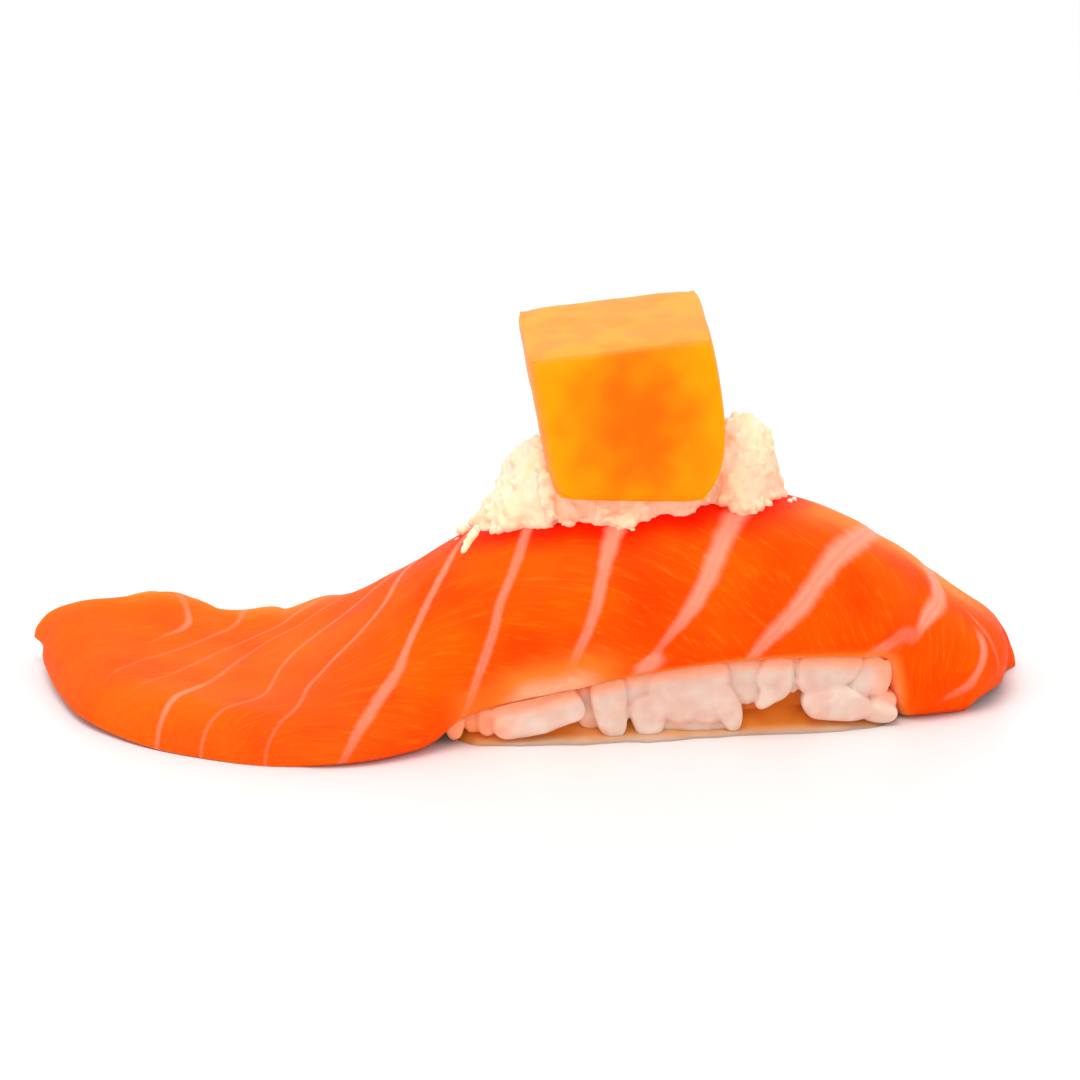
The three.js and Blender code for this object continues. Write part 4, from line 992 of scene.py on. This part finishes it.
def make_rice_core(finish):
    """A close core in the form of the loaf, squarer towards its foot and uneven. Its front is pushed out at
    the foot by spread * (1 - z / height)^2.2, as sticky rice spreads, and less and less below the table."""
    corners, faces = ball(*CORE["steps"])
    corners = corners[:, [2, 1, 0]] * np.array([1, -1, 1])
    squareness = LOAF["squareness"] + CORE["squarer"] * fade(*CORE["squarer_below"], corners[:, 2:])
    size = (np.abs(corners) ** squareness).sum(-1, keepdims=True) ** (1 / squareness)
    half_length = LOAF["half_length"] - CORE["behind_ends"]
    half_width = LOAF["half_width"] - CORE["behind_wall"]
    core = corners / size * np.array([half_length, half_width, LOAF["height"]])
    core[:, 0] += LOAF["middle"]
    core = core + unit(corners) * (CORE["uneven"] * relief(core, CORE["uneven_size"], 5, 2))[:, None]
    wander = relief(core * np.array([1, 0, 0]), CORE["spread_size"], 6)
    spread = CORE["spread"] + CORE["spread_uneven"] * wander
    height = core[:, 2]
    above = np.clip(1 - height / CORE["spread_height"], 0, 1) ** CORE["spread_power"]
    below = np.clip(1 + height / CORE["spread_below"], 0, 1)
    core[:, 1] -= spread * smooth_step(*CORE["spread_from"], core[:, 1]) * np.where(height > 0, above, below)
    core = pressed(core)
    # Painted warm shade at the foot, strongest by the wall and fading outwards, and a little painted bounce
    # all over.
    least = RICE_TONE["foot_least"]
    deep = least + (1 - least) * smooth_step(*RICE_TONE["foot_out"], core[:, 1])
    tinged = np.full(len(core), RICE_TONE["foot_tinged"])
    make_piece("rice_core", core, faces, finish, "rice_ball", "rice", deep=deep, tinged=tinged)


def make_rice_grains(finish):
    """Grains over the loaf's wall and foot, apart from those that would stick up into the slice."""
    rng = np.random.default_rng(41)
    wall = wall_grains(rng)
    foot = foot_grains(rng)
    centres, directions, outwards = (np.concatenate(pair) for pair in zip(wall, foot))
    clear = centres[:, 2] < height_under(centres[:, 0], centres[:, 1]) - ROOM_UNDER_SLICE
    centres, directions, outwards = centres[clear], directions[clear], outwards[clear]
    lengths = GRAIN["length"] * rng.uniform(*GRAIN["lengths"], len(centres))
    thicknesses = GRAIN["thickness"] * rng.uniform(*GRAIN["thicknesses"], len(centres))
    points, faces = joined(*grain_shapes(centres, directions, outwards, lengths, thicknesses, 11))
    points = pressed(points)
    # The grains just behind the loaf's wall get a painted warm shade.
    make_piece("rice_grains", points, faces, finish, "rice_ball", "rice", deep=rice_depth(points))


def make_front_grains(finish):
    """The grains that show in front, run into each other: a painted orange bounce from the slice under its
    rim and near both of its ends, and a warmer painted shade in the grooves between them."""
    points, _, faces = fused(*joined(*outlined_grains(FRONT_GRAINS)), **GRAINS_FUSED)
    rim = through(NEAR_RIM_HEIGHT, np.minimum(points[:, 0], HEAD_CORNER))
    points[:, 2] += TUCKED_IN["lift"] * smooth_step(*TUCKED_IN["below_rim"], points[:, 2] - rim)
    points = pressed(points)
    x, y, z = points.T
    tone = RICE_TONE
    # Painted bounce from the slice: under its rim and by its tail and head.
    by_rim = smooth_step(*tone["under_rim"], z - rim)
    by_tail = tone["tail_tinged"] * fade(*tone["by_tail"], x)
    by_head = tone["head_tinged"] * smooth_step(*tone["by_head"], x) * smooth_step(*tone["head_height"], z)
    tinged = np.maximum.reduce([by_rim, by_tail, by_head])
    # Painted shade: warmer towards the back of the grooves between the front grains.
    deep = tone["grooves_deep"] * smooth_step(*tone["grooves"], y)
    make_piece("rice_front_grains", points, faces, finish, "rice_ball", "rice", deep=deep, tinged=tinged)


# ---- the cube ------------------------------------------------------------------------------------


def mango_frame(x, y):
    """A place in the cube's own directions: across from left to right, and back from its middle."""
    c, s = np.cos(MANGO["turn"]), np.sin(MANGO["turn"])
    dx, dy = x - MANGO["middle"][0], y - MANGO["middle"][1]
    return dx * c + dy * s, -dx * s + dy * c


def from_mango_frame(across, back):
    """The place of a point that is given in the cube's own directions."""
    c, s = np.cos(MANGO["turn"]), np.sin(MANGO["turn"])
    return c * across - s * back + MANGO["middle"][0], s * across + c * back + MANGO["middle"][1]


def mango_sides(up):
    """Where the cube's left and right faces lie across, at a share of its height."""
    foot, head = MANGO["foot"], MANGO["head"]
    return (foot[k] + (head[k] - foot[k]) * up for k in (0, 1))


def mango_floor(x, y):
    """Height of the plane of the cube's underside over a place, and how far outside its foot that lies."""
    across, back = mango_frame(x, y)
    left, right, left_height, right_height = MANGO["foot"]
    share = (across - left) / (right - left)
    lean = MANGO["back_rise"] * (back / MANGO["depth"] + 0.5)
    outside = np.maximum(np.maximum(left - across, across - right), np.abs(back) - MANGO["depth"] / 2)
    return left_height + (right_height - left_height) * share + lean, outside


def mango_bottom(x, y):
    """Height of the cube's underside over a place, or far above it beside the cube."""
    floor, outside = mango_floor(x, y)
    return np.where(outside < BESIDE_FOOT, floor, FAR_ABOVE)


def clear_of_mango(points):
    """Points that lie deeper in the cube than CHEESE_IN_CUBE come back to that depth, under the nearest of
    its left, right, front, back and lower faces."""
    x, y, z = points.T
    across, back = mango_frame(x, y)
    bottom = mango_bottom(np.clip(x, *FOOT_INSIDE[0]), np.clip(y, *FOOT_INSIDE[1]))
    left, right = mango_sides(np.clip((z - bottom) / (MANGO["head"][2] - MANGO["foot"][2]), 0, 1))
    front, rear = back + MANGO["depth"] / 2, MANGO["depth"] / 2 - back
    depths = np.stack([across - left, right - across, front, rear, z - bottom])
    too_deep = depths.min(axis=0) - CHEESE_IN_CUBE
    c, s = np.cos(MANGO["turn"]), np.sin(MANGO["turn"])
    directions = np.array([(-c, -s, 0), (c, s, 0), (s, -c, 0), (-s, c, 0), (0, 0, -1)])
    return points + directions[depths.argmin(axis=0)] * np.maximum(too_deep, 0)[:, None]


def cube_grid(steps):
    """The six faces of a cube from -1 to 1, as grids of quads that share their edges."""
    t = np.linspace(-1, 1, steps + 1)
    a, b = np.meshgrid(t, t, indexing="ij")
    one = np.ones_like(a)
    sides = [(one, a, b), (-one, b, a), (b, one, a), (a, -one, b), (a, b, one), (b, a, -one)]
    corners = np.concatenate([np.stack(side, -1).reshape(-1, 3) for side in sides])
    grid = np.arange(one.size).reshape(one.shape)
    quads = np.stack([grid[:-1, :-1], grid[1:, :-1], grid[1:, 1:], grid[:-1, 1:]], -1).reshape(-1, 4)
    quads = np.concatenate([quads + k * grid.size for k in range(6)])
    rounded = np.round(corners * 1e4).astype(int)
    _, first, merged = np.unique(rounded, axis=0, return_index=True, return_inverse=True)
    return corners[first], merged.reshape(-1)[quads]


def make_mango():
    """A cut block: a cube narrower at its foot, bellied to the right, with its edges and corners drawn in by
    round * (xy + yz + zx), where x, y and z are |u|^9 of its sine-spaced coordinates u."""
    corners, quads = cube_grid(MANGO["steps"])
    u = np.sin(corners * np.pi / 2)
    over, back, up = ((u[:, k] + 1) / 2 for k in (0, 1, 2))
    belly = (1 - u[:, 2] ** 2) * (1 - MANGO["belly_low"] * u[:, 2])
    left, right = mango_sides(up)
    left = left - MANGO["belly_left"] * belly
    right = right + MANGO["belly_right"] * belly
    foot, head = MANGO["foot"], MANGO["head"]
    lean = MANGO["back_rise"] * back
    bottom = foot[2] + (foot[3] - foot[2]) * over + lean
    top = head[2] + (head[3] - head[2]) * over + lean
    across = left + (right - left) * over
    p = np.stack([across, u[:, 1] * MANGO["depth"] / 2, bottom + (top - bottom) * up], -1)
    x, y, z = (np.abs(u) ** MANGO["edge_sharpness"]).T
    meeting = np.minimum(x * y + y * z + z * x, MANGO["corner_most"])
    middle = np.stack([(left + right) / 2, 0 * left, (bottom + top) / 2], -1)
    p = p + unit(middle - p) * (MANGO["edge_round"] * meeting)[:, None]
    p = p + unit(p - middle) * (MANGO["uneven"] * relief(p, MANGO["uneven_size"], 9, 2))[:, None]
    points = np.stack([*from_mango_frame(p[:, 0], p[:, 1]), p[:, 2]], -1)

    # Distance from each face's own middle, which lies a little right of its centre; upwards it counts less.
    tone = MANGO_TONE
    across_face = np.where(np.abs(u) > 0.999, 0, u - np.array([tone["middle_right"], 0, 0]))
    edge = np.linalg.norm(across_face * np.array([1.0, 1.0, tone["upwards"]]), axis=1) / tone["reach"]
    # Painted sheen: the top face turns paler, and the left face a little less.
    on_top = smooth_step(*tone["face"], u[:, 2])
    on_left = tone["left"] * smooth_step(*tone["face"], -u[:, 0])
    pale = np.maximum(on_top, on_left)
    make_piece("mango", points, quads, mango_finish(), "mango_cube", "mango", edge=edge, pale=pale)


# ---- the cheese ----------------------------------------------------------------------------------


def edge_distance(x, y):
    """Distance to the cheese's outline, positive inside it: the least over its sides, signed by whether a
    ray crosses it an odd number of times."""
    ring = np.array(CHEESE_EDGE, float)
    following = np.roll(ring, -1, axis=0)
    p = np.stack([x, y], -1)[..., None, :]
    side = following - ring
    t = np.clip(((p - ring) * side).sum(-1) / (side ** 2).sum(-1), 0, 1)
    distance = np.linalg.norm(p - ring - t[..., None] * side, axis=-1).min(-1)
    px, py = p[..., 0], p[..., 1]
    spans = (ring[:, 1] > py) != (following[:, 1] > py)
    crossing = ring[:, 0] + (py - ring[:, 1]) * side[:, 0] / np.where(side[:, 1] == 0, 1e-9, side[:, 1])
    inside = (spans & (px < crossing)).sum(-1) % 2 == 1
    return np.where(inside, distance, -distance)


def heap(x, y):
    """Height of the mound over the slice: its crest, falling to both sides as a bell, and a steep scalloped
    edge, a quarter circle up from the outline."""
    bell = np.exp(-(((y - CHEESE_CREST_AT) / through(CHEESE_CREST_WIDTH, x)) ** 2))
    crest = through(CHEESE_CREST, x)
    rise = np.minimum(CHEESE_FRONT, crest + 0.6) + np.maximum(crest - CHEESE_FRONT, 0) * bell
    place = np.stack([x, y, 0 * x], -1)
    scallops = sum(depth * relief(place, size, seed) for depth, size, seed in CHEESE_SCALLOPS)
    return rise * round_edge(edge_distance(x, y) + scallops, CHEESE_RIM)


def lumps_of(centres, radii, seed):
    """Irregular lumps: each ball's radius is varied by noise over its surface."""
    corners, faces = ball(*LUMP["steps"])
    shapes = centres[:, None] + corners[None] * radii[:, None, None]
    swell = 1 + LUMP["uneven"] * relief(shapes, LUMP["uneven_size"], seed, 2)
    shapes = centres[:, None] + corners[None] * (radii[:, None] * swell)[..., None]
    return joined(shapes, faces)


def mound():
    """The smooth body of the cheese: rays run from its middle to its outline, over the top and back
    underneath. Where the cube stands, the top is at least its bed."""
    rays, steps = MOUND_STEPS
    closed, way = closed_ring(CHEESE_EDGE)
    edge = on_ring(closed, way, np.linspace(0, way[-1], rays, endpoint=False))
    plan = CHEESE_MIDDLE + (edge - CHEESE_MIDDLE) * np.linspace(*MOUND_SHARES, steps)[:, None, None]
    x, y = plan[..., 0], plan[..., 1]
    slice_top = height_over(x, y)
    floor, outside = mango_floor(x, y)
    bed = floor + CUBE_BED["above"] - CUBE_BED["fall"] * smooth_step(*CUBE_BED["from_foot"], outside)
    bedded = (edge_distance(x, y) > CUBE_BED["inside"]) & (outside < CUBE_BED["from_foot"][1])
    top = np.maximum(slice_top - CHEESE_SINKS["body"] + heap(x, y), np.where(bedded, bed, 0))
    upper = np.concatenate([plan, top[..., None]], -1)
    lower = np.concatenate([plan, (slice_top - CHEESE_SINKS["underneath"])[..., None]], -1)
    points = np.concatenate([upper, lower[::-1]]).reshape(-1, 3)
    grid = np.arange(len(points)).reshape(2 * steps, rays)
    below, beside = np.roll(grid, -1, axis=0), np.roll(grid, -1, axis=1)
    across = np.roll(below, -1, axis=1)
    halves = [np.stack([grid, below, across], -1), np.stack([grid, across, beside], -1)]
    return points, np.concatenate(halves).reshape(-1, 3)


def surface_crumbs():
    """Small lumps half sunk in the mound on a jittered grid over its outline, more in a row along its edge,
    and the lumps that fill the corner by the cube."""
    rng = np.random.default_rng(7)
    pitch = CRUMB_SPREAD["pitch"]
    x, y = np.meshgrid(np.arange(-7, 27, pitch), np.arange(-9, 12, pitch))
    x = x.ravel() + rng.uniform(-0.5, 0.5, x.size) * pitch
    y = y.ravel() + rng.uniform(-0.5, 0.5, y.size) * pitch
    inside = edge_distance(x, y) > -0.1
    x, y = x[inside], y[inside]
    radii = rng.uniform(*CRUMB_SPREAD["radii"], len(x))
    z = height_over(x, y) + heap(x, y) - CHEESE_SINKS["crumbs"] - CRUMB_SINKS * radii
    over = np.stack([x, y, z], -1)

    closed, way = closed_ring(CHEESE_EDGE)
    at = np.arange(0, way[-1], CRUMB_SPREAD["edge_pitch"])
    at = at + rng.uniform(-0.4, 0.4, len(at)) * CRUMB_SPREAD["edge_pitch"]
    x, y = on_ring(closed, way, at).T + rng.uniform(-0.35, 0.35, (2, len(at)))
    small = rng.uniform(*CRUMB_SPREAD["edge_radii"], len(at))
    beside = np.stack([x, y, height_over(x, y) + rng.uniform(0.1, 0.5, len(at))], -1)

    x, y, lift, filling = np.array(CHEESE_FILLING).T
    corner = np.stack([x, y, height_over(x, y) + lift], -1)
    return np.concatenate([over, beside, corner]), np.concatenate([radii, small, filling])


def make_cheese():
    """The mound and its crumbs as one skin, roughened along its normals, pressed flat where the cube stands
    on it, and a few loose crumbs beside it."""
    finish = cheese_finish()
    body, body_faces = mound()
    body[:, 2] = np.minimum(body[:, 2], mango_bottom(body[:, 0], body[:, 1]) + CHEESE_IN_CUBE)
    centres, radii = surface_crumbs()
    ceiling = mango_bottom(centres[:, 0], centres[:, 1])
    centres[:, 2] = np.minimum(centres[:, 2], ceiling - 0.5 * radii)
    crumbs, crumb_faces = lumps_of(centres, radii, 17)
    faces = np.concatenate([body_faces, crumb_faces + len(body)])
    points, normals, faces = fused(np.concatenate([body, crumbs]), faces, **CHEESE_FUSED)
    rough = sum(height * relief(points, size, seed, 2) for height, size, seed in CHEESE_ROUGH)
    points = clear_of_mango(points + normals * rough[:, None])
    above = points[:, 2] - height_over(points[:, 0], points[:, 1])
    tone = CHEESE_TONE
    # Painted shade: warmer curd low over the slice, and higher up at the right end.
    low = tone["painted_shade_most"] * fade(*tone["low"], above)
    painted_shade_right = smooth_step(*tone["right"], points[:, 0]) * fade(*tone["painted_shade_right"], above)
    low = np.maximum(low, tone["right_most"] * painted_shade_right)
    make_piece("cheese", points, faces, finish, "soft_cheese", "cheese", low=low)

    x, y, radii = np.array(LOOSE_CRUMBS).T
    centres = np.stack([x, y, height_over(x, y) + 0.3 * radii], -1)
    points, _, faces = fused(*lumps_of(centres, radii * 1.2, 37), **CRUMBS_FUSED)
    # The loose crumbs get a little of the painted shade.
    low = np.full(len(points), tone["crumbs"])
    make_piece("cheese_crumbs", points, faces, finish, "soft_cheese", "cheese", low=low)


# ---- camera, light and table ---------------------------------------------------------------------

CAMERA = dict(azimuth=-8.4, elevation=18.0, distance=600.0, lens=200.0, sensor=36.0, aim_up=16.0)
LIGHTS = [
    dict(name="overhead", place=(-0.24, -0.20, 1.24), size=0.9, power=8.8),
    dict(name="front", place=(-0.09, -0.62, 0.10), size=0.35, power=0.9),
]
LIT_PLACE = (0, 0, 0.01)
SKY_STRENGTH = 0.98
TABLE_REACH = 3.0


def make_camera():
    """The camera stands on a line from the drawing origin and looks a little above it."""
    a, e = np.radians(CAMERA["azimuth"]), np.radians(CAMERA["elevation"])
    back = np.array([np.sin(a) * np.cos(e), -np.cos(a) * np.cos(e), np.sin(e)])
    right = np.array([np.cos(a), np.sin(a), 0.0])
    place = (back * CAMERA["distance"] - CENTRE) * MM
    aim = (np.cross(back, right) * CAMERA["aim_up"] - CENTRE) * MM
    back = unit(place - aim)
    data = bpy.data.cameras.new("camera")
    data.lens = CAMERA["lens"]
    data.sensor_width = CAMERA["sensor"]
    data.clip_start = 0.01
    camera = bpy.data.objects.new("camera", data)
    turn = Matrix([right, np.cross(back, right), back]).transposed().to_4x4()
    camera.matrix_world = Matrix.Translation(Vector(place)) @ turn
    bpy.context.scene.collection.objects.link(camera)
    bpy.context.scene.camera = camera


def add_light(name, place, size, power):
    """A round light that faces the nigiri."""
    data = bpy.data.lights.new(name, "AREA")
    data.shape = "DISK"
    data.size = size
    data.energy = power
    light = bpy.data.objects.new(name, data)
    turn = (Vector(place) - Vector(LIT_PLACE)).to_track_quat("Z", "Y")
    light.matrix_world = Matrix.Translation(Vector(place)) @ turn.to_matrix().to_4x4()
    bpy.context.scene.collection.objects.link(light)


def make_studio():
    """A plain white table under an even white sky, a broad overhead light and a weak one from the front."""
    scene = bpy.context.scene
    scene.view_settings.view_transform = "Standard"
    world = bpy.data.worlds.new("studio")
    world.use_nodes = True
    sky = world.node_tree.nodes["Background"]
    sky.inputs["Color"].default_value = (1.0, 1.0, 1.0, 1.0)
    sky.inputs["Strength"].default_value = SKY_STRENGTH
    scene.world = world
    for light in LIGHTS:
        add_light(**light)

    mesh = bpy.data.meshes.new("table")
    corners = [(x * TABLE_REACH, y * TABLE_REACH, 0) for x, y in ((-1, -1), (1, -1), (1, 1), (-1, 1))]
    mesh.from_pydata(corners, [], [(0, 1, 2, 3)])
    table = bpy.data.objects.new("table", mesh)
    scene.collection.objects.link(table)
    white = Finish("table_white", Base_Color=(0.75, 0.75, 0.745, 1), Roughness=0.35, IOR=1.25)
    mesh.materials.append(white.material)


make_camera()
make_studio()
boiled_rice = rice_finish()
make_rice_core(boiled_rice)
make_rice_grains(boiled_rice)
make_front_grains(boiled_rice)
make_salmon()
make_cheese()
make_mango()
